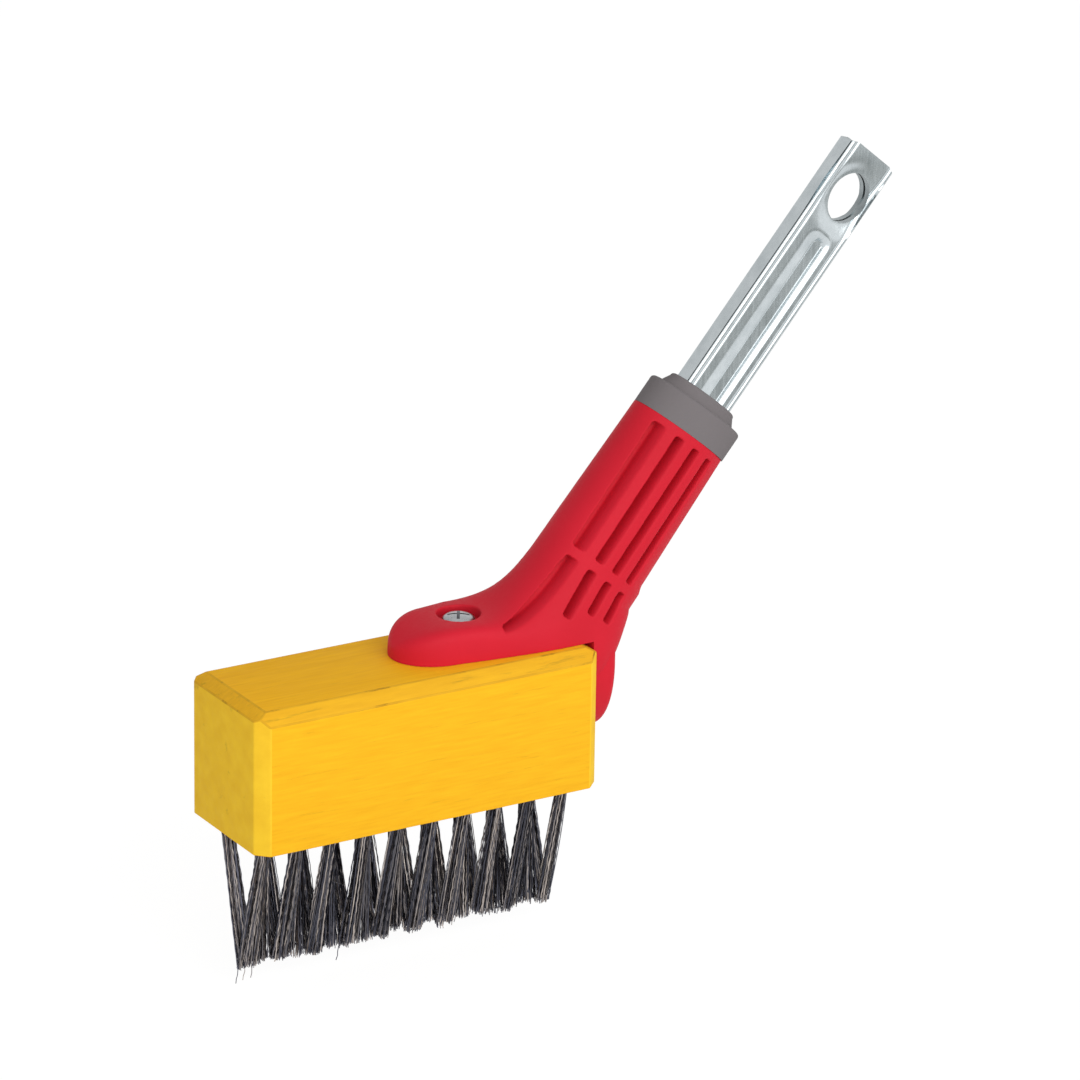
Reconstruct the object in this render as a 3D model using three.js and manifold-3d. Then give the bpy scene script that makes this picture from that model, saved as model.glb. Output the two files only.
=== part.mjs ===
// Weed brush head: a wooden block with three rows of wire tufts, screwed into a moulded bracket
// whose oval shank carries a folded steel tongue that locks into a separate long handle.
import * as THREE from 'three';
import { mergeVertices } from 'three/addons/utils/BufferGeometryUtils.js';
import Module from 'manifold-3d';

const wasm = await Module();
wasm.setup();

// Driving dimensions in millimetres; angles in degrees
const clearance = 0.3;

// Wooden block
const blockLength = 118.8;
const blockWidth = 45;
const blockHeight = 45.3;
const edgeChamfer = 3.8;
const endBevelLength = 4.1;
const endBevelDrop = 2.3;

// Wire tufts
const tuftColumns = 10;
const tuftEndMargin = 7.4;
const tuftSideMargin = 10.2;
const tipRowSpacing = 2.9;
const bristleLength = 43;
const tuftHoleRadius = 2.6;
const tuftHoleDepth = 12;
const strandRadius = 0.29;
const strandPitch = 1;
const tipSpreadAlong = 1.2;
const tipSpreadAcross = 0.7;
const tipRaggedness = 2;
const tipFlat = 0.5;
const strandTwist = 40;
const backingThickness = 3;
const backingHalfWidth = 2.7;
const anchorLength = 6.6;
const anchorThickness = 0.6;
const anchorHeight = 2.2;

// Bracket foot and tail
const footLength = 61;
const noseLength = 16;
const noseHalfWidth = 13.2;
const noseHeight = 2.5;
const footHeight = 10.9;
const footHalfWidth = 14.6;
const noseSquareness = 2.2;
const footSquareness = 6;
const neckStart = 36;
const neckHalfWidth = 16.9;
const crownFootHandle = 9;
const crownShankHandle = 15.5;
const undersideReach = 7.6;
const undersideDrop = 24;
const undersideShankHandle = 12;
const tailThickness = 9;
const tailOverlap = 4;
const tailHalfWidth = 15.2;
const tailLength = 34;
const tailStraight = 12;
const tailEdgeRadius = 2.4;

// Bracket shank, measured along the handle axis from where it crosses the block's top
const handleAngle = 50;
const axisInset = 8;
const seamDistance = 73.7;
const shankStart = 20;
const shankDepth = 17.7;
const shankUndersideDepth = 17.2;
const shankHalfWidth = 13.6;
const shankRootDepth = 17.8;
const shankRootHalfWidth = 15;
const shankRootSquareness = 2.2;
const shankSquareness = 2;

// Pockets moulded into both sides of the shank and neck
const pocketCount = 4;
const firstPocketOffset = -13.4;
const pocketPitch = 6.7;
const pocketWidth = 3.5;
const pocketDepth = 3;
const pocketCorner = 0.8;
const pocketTop = 2.6;
const bandStart = 47.8;
const bandWidth = 3.4;
const lowerPocketLengths = [16.1, 11.2, 10.4];
const curvedPocketInset = 4.5;
const curvedPocketTipInset = 2.8;
const curvedPocketStart = 0.2;
const curvedPocketTip = 2;
const curvedPocketBulge = 0.25;

// Collar and tongue
const collarHeight = 9.6;
const bossHeight = 4;
const bossInset = 3.3;
const bossTaper = 1.4;
const rimRound = 1.4;
const tongueWidth = 19.8;
const tongueThickness = 7.2;
const tongueCorner = 1.2;
const tongueReach = 103.7;
const tongueBuried = 44;
const tongueWall = 1.5;
const tipChamfer = 2.5;
const tipDrop = 1.1;
const lockHoleWidth = 14.2;
const lockHoleLength = 16.4;
const lockHoleFromTip = 15.3;
const pressOffset = 1.1;
const grooveFloorWidth = 3.2;
const grooveDepth = 1.9;
const grooveFlank = 4.2;
const grooveFromTip = 28.5;
const seamSlit = 0.5;
const seamSlitDepth = 0.8;
const seamFromEdge = 0.6;

// Screws
const screwHeadRadius = 4.8;
const screwHeadHeight = 3;
const screwHeadRim = 0.9;
const screwHeadShoulder = 4.1;
const screwShankRadius = 2.5;
const screwLength = 32;
const screwPointLength = 5;
const counterboreRadius = 7;
const topScrewSeat = 7.8;
const topScrewFromEnd = 38;
const tailScrewSeat = 5.5;
const tailScrewDrop = 17;
const crossArm = 4.4;
const crossSlot = 1.1;
const crossDepth = 1.6;

// Colours and finishes
const finishes = {
  wood: { color: 0xf2b51e, roughness: 0.55, metalness: 0 },
  wire: { color: 0x3a3735, roughness: 0.4, metalness: 1 },
  anchor: { color: 0x9a9c9e, roughness: 0.4, metalness: 1 },
  red: { color: 0xc9202c, roughness: 0.45, metalness: 0 },
  grey: { color: 0x807a7b, roughness: 0.6, metalness: 0 },
  zinc: { color: 0xc3cacf, roughness: 0.25, metalness: 1 },
};

// Places that follow from the sizes above; the block's middle is x = 0 and the bristle tips are z = 0
const blockBottom = bristleLength;
const blockTop = bristleLength + blockHeight;
const blockEnd = blockLength / 2;
const handleTilt = THREE.MathUtils.degToRad(90 - handleAngle);
const handleRise = THREE.MathUtils.degToRad(handleAngle);
const along = new THREE.Vector2(Math.cos(handleRise), Math.sin(handleRise));
const under = new THREE.Vector2(Math.sin(handleRise), -Math.cos(handleRise));
const neckOrigin = new THREE.Vector2(blockEnd - axisInset, blockTop);
const seam = neckOrigin.clone().addScaledVector(along, seamDistance);
const handleFrame = new THREE.Matrix4().makeRotationY(handleTilt).setPosition(seam.x, 0, seam.y);

// Solid helpers
function solidOf(geometry, matrix) {
  const bare = geometry.clone();
  bare.deleteAttribute('normal');
  bare.deleteAttribute('uv');
  if (matrix) bare.applyMatrix4(matrix);
  const merged = mergeVertices(bare, 1e-4);
  const indices = merged.index.array;
  const kept = [];
  for (let i = 0; i < indices.length; i += 3) {
    const [a, b, c] = indices.slice(i, i + 3);
    if (a !== b && b !== c && c !== a) kept.push(a, b, c);
  }
  return new wasm.Manifold(new wasm.Mesh({
    numProp: 3,
    vertProperties: new Float32Array(merged.attributes.position.array),
    triVerts: new Uint32Array(kept),
  }));
}

function geometryOf(solid) {
  const mesh = solid.getMesh();
  const geometry = new THREE.BufferGeometry();
  geometry.setAttribute('position', new THREE.Float32BufferAttribute(mesh.vertProperties, 3));
  geometry.setIndex(new THREE.Uint32BufferAttribute(mesh.triVerts, 1));
  geometry.computeVertexNormals();
  return geometry;
}

function meshOf(name, solid, finish) {
  const mesh = new THREE.Mesh(geometryOf(solid), new THREE.MeshStandardMaterial(finish));
  mesh.name = name;
  return mesh;
}

function box(low, high) {
  const size = [0, 1, 2].map((k) => high[k] - low[k]);
  const geometry = new THREE.BoxGeometry(...size);
  geometry.translate(...[0, 1, 2].map((k) => (high[k] + low[k]) / 2));
  return solidOf(geometry);
}

function rod(radius, bottom, top, sides = 24) {
  const geometry = new THREE.CylinderGeometry(radius, radius, top - bottom, sides);
  geometry.rotateX(Math.PI / 2);
  geometry.translate(0, 0, (bottom + top) / 2);
  return geometry;
}

function loft(rings) {
  const count = rings[0].length;
  const points = rings.flat();
  const indices = [];
  const at = (i, j) => i * count + (j % count);
  for (let i = 0; i + 1 < rings.length; i += 1) {
    for (let j = 0; j < count; j += 1) {
      indices.push(at(i, j), at(i, j + 1), at(i + 1, j));
      indices.push(at(i, j + 1), at(i + 1, j + 1), at(i + 1, j));
    }
  }
  const last = rings.length - 1;
  for (const [ring, turned] of [[0, true], [last, false]]) {
    const middle = new THREE.Vector3();
    rings[ring].forEach((point) => middle.addScaledVector(point, 1 / count));
    points.push(middle);
    const hub = points.length - 1;
    for (let j = 0; j < count; j += 1) {
      const edge = turned ? [at(ring, j + 1), at(ring, j)] : [at(ring, j), at(ring, j + 1)];
      indices.push(hub, ...edge);
    }
  }
  const geometry = new THREE.BufferGeometry().setFromPoints(points);
  geometry.setIndex(indices);
  return geometry;
}

function roundedPower(value, exponent) {
  return Math.sign(value) * Math.abs(value) ** (2 / exponent);
}

function mix(from, to, share) {
  return from + (to - from) * share;
}

// Wooden block: three crossed outlines give the chamfers, then the tuft holes and screw holes are cut
function extrudeOutline(points, depth) {
  const shape = new THREE.Shape(points.map(([u, v]) => new THREE.Vector2(u, v)));
  return new THREE.ExtrudeGeometry(shape, { depth, bevelEnabled: false });
}

function blockBody() {
  const halfWidth = blockWidth / 2;
  const c = edgeChamfer;
  const plan = extrudeOutline([
    [-blockEnd, -halfWidth + c], [-blockEnd + c, -halfWidth], [blockEnd - c, -halfWidth],
    [blockEnd, -halfWidth + c], [blockEnd, halfWidth - c], [blockEnd - c, halfWidth],
    [-blockEnd + c, halfWidth], [-blockEnd, halfWidth - c],
  ], blockHeight);
  plan.translate(0, 0, blockBottom);
  const section = extrudeOutline([
    [-halfWidth, blockBottom], [halfWidth, blockBottom], [halfWidth, blockTop - c],
    [halfWidth - c, blockTop], [-halfWidth + c, blockTop], [-halfWidth, blockTop - c],
  ], blockLength);
  section.applyMatrix4(new THREE.Matrix4().makeBasis(
    new THREE.Vector3(0, 1, 0), new THREE.Vector3(0, 0, 1), new THREE.Vector3(1, 0, 0)));
  section.translate(-blockEnd, 0, 0);
  const side = extrudeOutline([
    [-blockEnd, blockBottom], [blockEnd, blockBottom], [blockEnd, blockTop - endBevelDrop],
    [blockEnd - endBevelLength, blockTop], [-blockEnd + endBevelLength, blockTop],
    [-blockEnd, blockTop - endBevelDrop],
  ], blockWidth);
  side.rotateX(Math.PI / 2);
  side.translate(0, halfWidth, 0);
  return solidOf(plan).intersect(solidOf(section)).intersect(solidOf(side));
}

// Tuft rows: each strand runs straight from the backing strip, through its drilled hole, to its tip;
// the tips are ragged, and the longest are cut flat, because the part stands on them
const rowNames = ['front', 'middle', 'rear'];
const tuftSpan = blockLength - 2 * tuftEndMargin;
const tuftPitch = tuftSpan / (tuftColumns - 1);
const rowSpacing = blockWidth / 2 - tuftSideMargin;
const leanSlope = (rowSpacing - tipRowSpacing) / bristleLength;
const backingBottom = blockBottom + tuftHoleDepth;

// One half of a tuft, on one side of its anchor, as places along and across the row
const halfTuft = [
  [0.9, -1.5], [0.9, -0.5], [0.9, 0.5], [0.9, 1.5], [1.6, -0.6], [1.6, 0.6],
];

function rowCentre(row, z) {
  return (row - 1) * (tipRowSpacing + leanSlope * z);
}

// The middle row is staggered: it has one tuft fewer, between those of the outer rows
function tuftCount(row) {
  return row === 1 ? tuftColumns - 1 : tuftColumns;
}

function tuftX(row, column) {
  return (column - (tuftCount(row) - 1) / 2) * tuftPitch;
}

function rowReach(row) {
  return tuftX(row, tuftCount(row) - 1) + tuftHoleRadius;
}

function leanFrame(row, column) {
  const lean = Math.atan((row - 1) * leanSlope);
  const frame = new THREE.Matrix4().makeRotationX(-lean);
  return frame.setPosition(tuftX(row, column), rowCentre(row, blockBottom), blockBottom);
}

function strand(row, column, place, index) {
  const [u, v] = place.map((value) => value * strandPitch);
  const ragged = tipRaggedness * ((index * 3) % 5) / 5;
  const shortfall = Math.max(0, ragged - tipFlat);
  const rootZ = backingBottom + backingThickness / 2;
  const turn = THREE.MathUtils.degToRad(index * strandTwist);
  const ringAt = (z, spreadAlong, spreadAcross) => [0, 1, 2].map((corner) => {
    const angle = turn - corner * 2 * Math.PI / 3;
    return new THREE.Vector3(
      tuftX(row, column) + u * spreadAlong + strandRadius * Math.cos(angle),
      rowCentre(row, z) + v * spreadAcross + strandRadius * Math.sin(angle),
      z);
  });
  const share = (rootZ - shortfall) / rootZ;
  const tip = ringAt(shortfall, mix(1, tipSpreadAlong, share), mix(1, tipSpreadAcross, share));
  const root = ringAt(rootZ, 1, 1);
  return solidOf(loft([root, tip]));
}

function tuftRow(row) {
  const y = rowCentre(row, backingBottom + backingThickness / 2);
  const reach = rowReach(row);
  const strip = box(
    [-reach, y - backingHalfWidth, backingBottom],
    [reach, y + backingHalfWidth, backingBottom + backingThickness]);
  const pieces = [strip];
  for (let column = 0; column < tuftCount(row); column += 1) {
    let index = column;
    for (const side of [-1, 1]) {
      for (const [u, v] of halfTuft) {
        pieces.push(strand(row, column, [side * u, side * v], index));
        index += 1;
      }
    }
  }
  return wasm.Manifold.union(pieces);
}

function anchorBox(row, column, slack) {
  const top = tuftHoleDepth - 2 * clearance;
  const geometry = new THREE.BoxGeometry(
    anchorThickness + 2 * slack, anchorLength + 2 * slack, anchorHeight + 2 * slack);
  geometry.translate(0, 0, top - anchorHeight / 2);
  return solidOf(geometry, leanFrame(row, column));
}

function tuftCuts() {
  const cuts = [];
  for (let row = 0; row < rowNames.length; row += 1) {
    const y = rowCentre(row, backingBottom + backingThickness / 2);
    const reach = rowReach(row) + clearance;
    cuts.push(box(
      [-reach, y - backingHalfWidth - clearance, backingBottom - clearance],
      [reach, y + backingHalfWidth + clearance, backingBottom + backingThickness + clearance]));
    for (let column = 0; column < tuftCount(row); column += 1) {
      const hole = rod(tuftHoleRadius, -tuftHoleRadius, tuftHoleDepth + backingThickness / 2, 12);
      cuts.push(solidOf(hole, leanFrame(row, column)));
      cuts.push(anchorBox(row, column, clearance));
    }
  }
  return wasm.Manifold.union(cuts);
}

// Screws: a domed pan head with a cross recess on a plain pointed shank, head seat at z = 0
function screwSolid() {
  const dome = new THREE.Path();
  dome.moveTo(0, -screwLength);
  dome.lineTo(screwShankRadius, screwPointLength - screwLength);
  dome.lineTo(screwShankRadius, 0);
  dome.lineTo(screwHeadRadius, 0);
  dome.lineTo(screwHeadRadius, screwHeadRim);
  dome.quadraticCurveTo(screwHeadShoulder, screwHeadHeight, 0, screwHeadHeight);
  const lathe = new THREE.LatheGeometry(dome.getPoints(6), 24);
  lathe.rotateX(Math.PI / 2);
  let screw = solidOf(lathe);
  for (const [sx, sy] of [[crossArm, crossSlot], [crossSlot, crossArm]]) {
    screw = screw.subtract(box(
      [-sx / 2, -sy / 2, screwHeadHeight - crossDepth], [sx / 2, sy / 2, screwHeadHeight + 1]));
  }
  return screw;
}

const topScrewFrame = new THREE.Matrix4().makeTranslation(
  blockEnd - topScrewFromEnd, 0, blockTop + topScrewSeat + clearance);
const tailScrewFrame = new THREE.Matrix4().makeRotationY(Math.PI / 2).setPosition(
  blockEnd + tailScrewSeat + clearance, 0, blockTop - tailScrewDrop);
const screwFrames = [topScrewFrame, tailScrewFrame];

function screwHole(frame, headDepth) {
  const bore = rod(screwShankRadius + clearance, -screwLength - 1, 1, 16);
  const counterbore = rod(counterboreRadius, -clearance, headDepth, 32);
  return solidOf(bore, frame).add(solidOf(counterbore, frame));
}

// Bracket: one loft from the nose of the foot through the curved neck to the end of the oval shank
const ringSides = 40;

function bracketRing(top, bottom, halfWidth, squareness, lowerSquareness, inset) {
  const middle = top.clone().add(bottom).multiplyScalar(0.5);
  const rise = top.clone().sub(bottom).multiplyScalar(0.5);
  rise.setLength(rise.length() - inset);
  return Array.from({ length: ringSides }, (_, j) => {
    const angle = (j / ringSides) * 2 * Math.PI;
    const power = Math.sin(angle) < 0 ? lowerSquareness : squareness;
    const lift = roundedPower(Math.sin(angle), power);
    const reach = roundedPower(Math.cos(angle), power);
    return new THREE.Vector3(
      middle.x + rise.x * lift, (halfWidth - inset) * reach, middle.y + rise.y * lift);
  });
}

function shankPoint(distance, offset) {
  return neckOrigin.clone().addScaledVector(along, distance).addScaledVector(under, offset);
}

function noseRings() {
  const steps = 7;
  const noseX = blockEnd - footLength;
  return Array.from({ length: steps }, (_, i) => {
    const turn = ((i + 1) / steps) * Math.PI / 2;
    const x = noseX + noseLength * (1 - Math.cos(turn));
    const height = mix(noseHeight, footHeight, Math.sin(turn));
    const squareness = mix(noseSquareness, footSquareness, Math.sin(turn));
    return bracketRing(
      new THREE.Vector2(x, blockTop + height), new THREE.Vector2(x, blockTop - height),
      noseHalfWidth * Math.sin(turn), squareness, squareness, 0);
  });
}

// The neck's top and underside are curves, tangent to the foot at one end and to the shank at the other
const neckX = blockEnd - neckStart;
const crownEnd = shankPoint(shankStart, -shankRootDepth);
const crown = new THREE.CubicBezierCurve(
  new THREE.Vector2(neckX, blockTop + footHeight),
  new THREE.Vector2(neckX + crownFootHandle, blockTop + footHeight),
  crownEnd.clone().addScaledVector(along, -crownShankHandle),
  crownEnd);
const undersideEnd = shankPoint(shankStart, shankRootDepth);
const underside = new THREE.CubicBezierCurve(
  new THREE.Vector2(neckX, blockTop - footHeight),
  new THREE.Vector2(blockEnd + undersideReach, blockTop - undersideDrop),
  undersideEnd.clone().addScaledVector(along, -undersideShankHandle),
  undersideEnd);

function neckRings(inset) {
  const steps = 12;
  return Array.from({ length: steps }, (_, i) => {
    const share = i / steps;
    const bulge = 4 * share * (1 - share);
    const width = mix(footHalfWidth, shankRootHalfWidth, share);
    const squareness = mix(shankRootSquareness, footSquareness, (1 - share) ** 3);
    const lowerSquareness = mix(shankRootSquareness, footSquareness, (1 - share) ** 0.7);
    const halfWidth = mix(width, neckHalfWidth, bulge);
    return bracketRing(
      crown.getPoint(share), underside.getPoint(share), halfWidth, squareness, lowerSquareness, inset);
  });
}

function shankRings(inset) {
  const steps = 5;
  return Array.from({ length: steps + 1 }, (_, i) => {
    const share = i / steps;
    const distance = mix(shankStart, seamDistance - clearance, share);
    const crownDepth = mix(shankRootDepth, shankDepth, share);
    const undersideDepth = mix(shankRootDepth, shankUndersideDepth, share);
    const halfWidth = mix(shankRootHalfWidth, shankHalfWidth, share);
    const squareness = mix(shankRootSquareness, shankSquareness, share);
    return bracketRing(
      shankPoint(distance, -crownDepth), shankPoint(distance, undersideDepth), halfWidth,
      squareness, squareness, inset);
  });
}

function tailPad() {
  const radius = tailEdgeRadius;
  const halfWidth = tailHalfWidth - radius;
  const outline = new THREE.Shape();
  outline.moveTo(halfWidth, 0);
  outline.lineTo(halfWidth, -tailStraight);
  outline.absellipse(0, -tailStraight, halfWidth, tailLength - tailStraight - radius, 0, Math.PI, true);
  outline.lineTo(-halfWidth, 0);
  const pad = new THREE.ExtrudeGeometry(outline, {
    depth: tailThickness + tailOverlap - 2 * radius,
    bevelSize: radius,
    bevelThickness: radius,
    bevelSegments: 3,
    curveSegments: 12,
  });
  const frame = new THREE.Matrix4().makeBasis(
    new THREE.Vector3(0, 1, 0), new THREE.Vector3(0, 0, 1), new THREE.Vector3(1, 0, 0));
  frame.setPosition(blockEnd - tailOverlap + radius, 0, blockTop);
  return solidOf(pad, frame);
}

// A pocket's outline lies in the handle's middle plane and is pushed through both side walls
function pocketCut(outline) {
  const depth = 2 * blockWidth;
  const cut = new THREE.ExtrudeGeometry(outline, { depth, bevelEnabled: false, curveSegments: 2 });
  const frame = new THREE.Matrix4().makeBasis(
    new THREE.Vector3(1, 0, 0), new THREE.Vector3(0, 0, 1), new THREE.Vector3(0, -1, 0));
  frame.setPosition(0, depth / 2, 0);
  return solidOf(cut, frame);
}

// A straight slot with rounded corners, from one distance along the shank to another
function straightPocket(offset, start, end) {
  const half = pocketWidth / 2 - pocketCorner;
  const corners = [
    [end - pocketCorner, offset + half], [end - pocketCorner, offset - half],
    [start + pocketCorner, offset - half], [start + pocketCorner, offset + half],
  ];
  const outline = new THREE.Shape();
  corners.forEach(([distance, across], i) => {
    const centre = shankPoint(distance, across);
    const turn = handleRise + (i - 1) * Math.PI / 2;
    outline.absarc(centre.x, centre.y, pocketCorner, turn, turn + Math.PI / 2, false);
  });
  return outline;
}

// The plain band between the long upper pockets and the short lower ones
const bandTop = seamDistance - bandStart;
const bandBottom = bandTop - bandWidth;

// The curved slot follows the crown of the neck, drawing closer to it as it narrows towards the foot
function curvedPocket() {
  const steps = 8;
  const spine = Array.from({ length: steps }, (_, i) => {
    const share = mix(curvedPocketStart, 1, i / steps);
    const tangent = crown.getTangent(share);
    return { place: crown.getPoint(share), inward: new THREE.Vector2(tangent.y, -tangent.x) };
  });
  spine.push({ place: shankPoint(bandBottom, -shankRootDepth), inward: under });
  const edgeAt = (side) => spine.map(({ place, inward }, i) => {
    const share = i / steps;
    const width = mix(curvedPocketTip, pocketWidth, share);
    const half = width / 2 + curvedPocketBulge * 4 * share * (1 - share);
    const inset = mix(curvedPocketTipInset, curvedPocketInset, share);
    return place.clone().addScaledVector(inward, inset + side * half);
  });
  return new THREE.Shape([...edgeAt(1), ...edgeAt(-1).reverse()]);
}

function pocketOutlines() {
  const outlines = [curvedPocket()];
  for (let i = 0; i < pocketCount; i += 1) {
    const offset = firstPocketOffset + i * pocketPitch;
    outlines.push(straightPocket(offset, bandTop, seamDistance - pocketTop));
    if (i > 0) outlines.push(straightPocket(offset, bandBottom - lowerPocketLengths[i - 1], bandBottom));
  }
  return outlines;
}

function tongueSection(slack, length) {
  const x = tongueWidth / 2 + slack;
  const y = tongueThickness / 2 + slack;
  const r = tongueCorner;
  const section = new THREE.Shape();
  section.absarc(x - r, y - r, r, 0, Math.PI / 2, false);
  section.absarc(r - x, y - r, r, Math.PI / 2, Math.PI, false);
  section.absarc(r - x, r - y, r, Math.PI, 1.5 * Math.PI, false);
  section.absarc(x - r, r - y, r, 1.5 * Math.PI, 2 * Math.PI, false);
  return new THREE.ExtrudeGeometry(section, { depth: length, bevelEnabled: false, curveSegments: 3 });
}

function tongueSocket() {
  const socket = tongueSection(clearance, tongueBuried + clearance + tongueReach);
  socket.translate(0, 0, -tongueBuried - clearance);
  return solidOf(socket, handleFrame);
}

// The pockets are cut right through, and a core inside the walls then gives them an even depth
function bracketSolid() {
  const walls = solidOf(loft([...noseRings(), ...neckRings(0), ...shankRings(0)]));
  const core = solidOf(loft([...neckRings(pocketDepth), ...shankRings(pocketDepth)]));
  const pockets = wasm.Manifold.union(pocketOutlines().map(pocketCut));
  const body = walls.subtract(pockets).add(core).add(tailPad());
  const far = blockLength + blockWidth;
  const blockRoom = box([-far, -far, -far], [blockEnd + clearance, far, blockTop + clearance]);
  const cuts = [blockRoom, tongueSocket()];
  cuts.push(screwHole(topScrewFrame, footHeight));
  cuts.push(screwHole(tailScrewFrame, tailThickness));
  return body.subtract(wasm.Manifold.union(cuts));
}

// Collar: oval rings of the shank's end, drawn in at the rim and again at the boss round the tongue
function collarSolid() {
  const top = collarHeight + bossHeight;
  const bossEdge = bossInset + bossTaper;
  const profile = new THREE.Path();
  profile.moveTo(0, 0);
  profile.lineTo(collarHeight - rimRound, 0);
  profile.quadraticCurveTo(collarHeight, 0, collarHeight, rimRound);
  profile.lineTo(collarHeight + clearance, bossInset);
  profile.lineTo(top - rimRound, bossEdge);
  profile.quadraticCurveTo(top, bossEdge, top, bossEdge + rimRound);
  const rings = profile.getPoints(3).map(({ x: z, y: inset }) => Array.from({ length: ringSides }, (_, j) => {
    const angle = (j / ringSides) * 2 * Math.PI;
    return new THREE.Vector3(
      (shankDepth - inset) * Math.cos(angle), (shankHalfWidth - inset) * Math.sin(angle), z);
  }));
  const hole = tongueSection(clearance, 3 * top);
  hole.translate(0, 0, -top);
  return solidOf(loft(rings)).subtract(solidOf(hole));
}

// Tongue: a flat tube of folded sheet, pressed to a groove on both broad sides, with a lock hole
// in line with the grooves, a little off the tongue's middle, and both corners of its tip cut back;
// an outline in the plane of its broad sides is pushed through its thickness
function throughTongue(outline) {
  const depth = 4 * tongueThickness;
  const solid = new THREE.ExtrudeGeometry(outline, { depth, bevelEnabled: false, curveSegments: 16 });
  solid.rotateX(Math.PI / 2);
  solid.translate(0, depth / 2, 0);
  return solidOf(solid);
}

function lockHole() {
  const outline = new THREE.Shape();
  const z = tongueReach - lockHoleFromTip;
  outline.absellipse(pressOffset, z, lockHoleWidth / 2, lockHoleLength / 2, 0, 2 * Math.PI, false);
  return throughTongue(outline);
}

function tonguePlan() {
  const edge = tongueWidth / 2;
  return throughTongue(new THREE.Shape([
    new THREE.Vector2(-edge, -tongueBuried), new THREE.Vector2(edge, -tongueBuried),
    new THREE.Vector2(edge, tongueReach - tipDrop), new THREE.Vector2(edge - tipChamfer, tongueReach),
    new THREE.Vector2(tipChamfer - edge, tongueReach), new THREE.Vector2(-edge, tongueReach - tipDrop),
  ]));
}

function pressedGroove(side) {
  const half = grooveFloorWidth / 2;
  const top = tongueReach - grooveFromTip - grooveFlank - half;
  const outline = new THREE.Shape();
  outline.moveTo(half, -tongueBuried - grooveFlank);
  outline.absarc(0, top, half, 0, Math.PI, false);
  outline.lineTo(-half, -tongueBuried - grooveFlank);
  const groove = new THREE.ExtrudeGeometry(outline, {
    depth: tongueThickness,
    bevelSize: grooveFlank,
    bevelThickness: grooveDepth,
    bevelSegments: 3,
    curveSegments: 8,
  });
  groove.rotateX(Math.PI / 2);
  groove.translate(0, -tongueThickness / 2, 0);
  if (side > 0) groove.rotateZ(Math.PI);
  groove.translate(pressOffset, 0, 0);
  return solidOf(groove);
}

function tongueSolid() {
  const sheet = tongueSection(0, tongueBuried + tongueReach);
  sheet.translate(0, 0, -tongueBuried);
  const edge = tongueWidth / 2;
  const face = tongueThickness / 2;
  const cavityStart = tongueReach - grooveFromTip + tongueWall;
  const cavity = box(
    [-edge + tongueWall, -face + tongueWall, cavityStart],
    [edge - tongueWall, face - tongueWall, tongueReach + 1]);
  const slit = box(
    [-edge + seamFromEdge, -face - 1, clearance + collarHeight + bossHeight],
    [-edge + seamFromEdge + seamSlit, -face + seamSlitDepth, tongueReach + 1]);
  const cuts = [cavity, slit, pressedGroove(-1), pressedGroove(1), lockHole()];
  return solidOf(sheet).intersect(tonguePlan()).subtract(wasm.Manifold.union(cuts));
}

// Assembly: pieces on the block in its own frame, collar and tongue in the turned handle group
const brush = new THREE.Group();

const block = blockBody()
  .subtract(tuftCuts())
  .subtract(screwHole(topScrewFrame, footHeight))
  .subtract(screwHole(tailScrewFrame, tailThickness));
brush.add(meshOf('brush_block', block, finishes.wood));

rowNames.forEach((name, row) => {
  brush.add(meshOf(`bristle_row_${name}`, tuftRow(row), finishes.wire));
  for (let column = 0; column < tuftCount(row); column += 1) {
    const label = String(column + 1).padStart(2, '0');
    brush.add(meshOf(`tuft_anchor_${name}_${label}`, anchorBox(row, column, 0), finishes.anchor));
  }
});

brush.add(meshOf('bracket', bracketSolid(), finishes.red));

['top_screw', 'tail_screw'].forEach((name, i) => {
  const screw = meshOf(name, screwSolid(), finishes.zinc);
  screw.applyMatrix4(screwFrames[i]);
  brush.add(screw);
});

const handleEnd = new THREE.Group();
handleEnd.applyMatrix4(handleFrame);
handleEnd.add(meshOf('collar', collarSolid(), finishes.grey));
handleEnd.add(meshOf('tongue', tongueSolid(), finishes.zinc));
brush.add(handleEnd);

// The origin is the middle of the part's footprint, on the plane of the bristle tips
const extent = new THREE.Box3().setFromObject(brush, true);
brush.position.x = -(extent.min.x + extent.max.x) / 2;

const part = new THREE.Group();
part.add(brush);

export default part;
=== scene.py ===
import math

import bmesh
import bpy
import numpy as np
from mathutils import Matrix, Vector


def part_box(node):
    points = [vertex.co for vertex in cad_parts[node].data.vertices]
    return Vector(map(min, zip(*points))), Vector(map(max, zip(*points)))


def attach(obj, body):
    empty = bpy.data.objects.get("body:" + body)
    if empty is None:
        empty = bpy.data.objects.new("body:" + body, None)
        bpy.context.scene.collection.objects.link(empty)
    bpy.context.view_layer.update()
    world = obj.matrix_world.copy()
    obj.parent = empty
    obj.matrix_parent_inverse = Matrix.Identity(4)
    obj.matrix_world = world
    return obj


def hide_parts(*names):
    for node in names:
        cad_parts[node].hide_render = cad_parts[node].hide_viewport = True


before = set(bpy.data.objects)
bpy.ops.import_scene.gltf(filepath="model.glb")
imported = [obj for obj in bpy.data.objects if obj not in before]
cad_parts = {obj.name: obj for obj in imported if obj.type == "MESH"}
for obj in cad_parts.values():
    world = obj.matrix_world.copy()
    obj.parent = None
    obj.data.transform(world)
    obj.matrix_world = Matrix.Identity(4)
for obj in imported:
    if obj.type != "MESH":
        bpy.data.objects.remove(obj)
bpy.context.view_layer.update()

# Sizes are in millimetres and angles in degrees. The brush's own frame has x from the block's middle
# towards the handle, y across the block and z up from the bristle tips.
MM = 0.001

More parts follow.
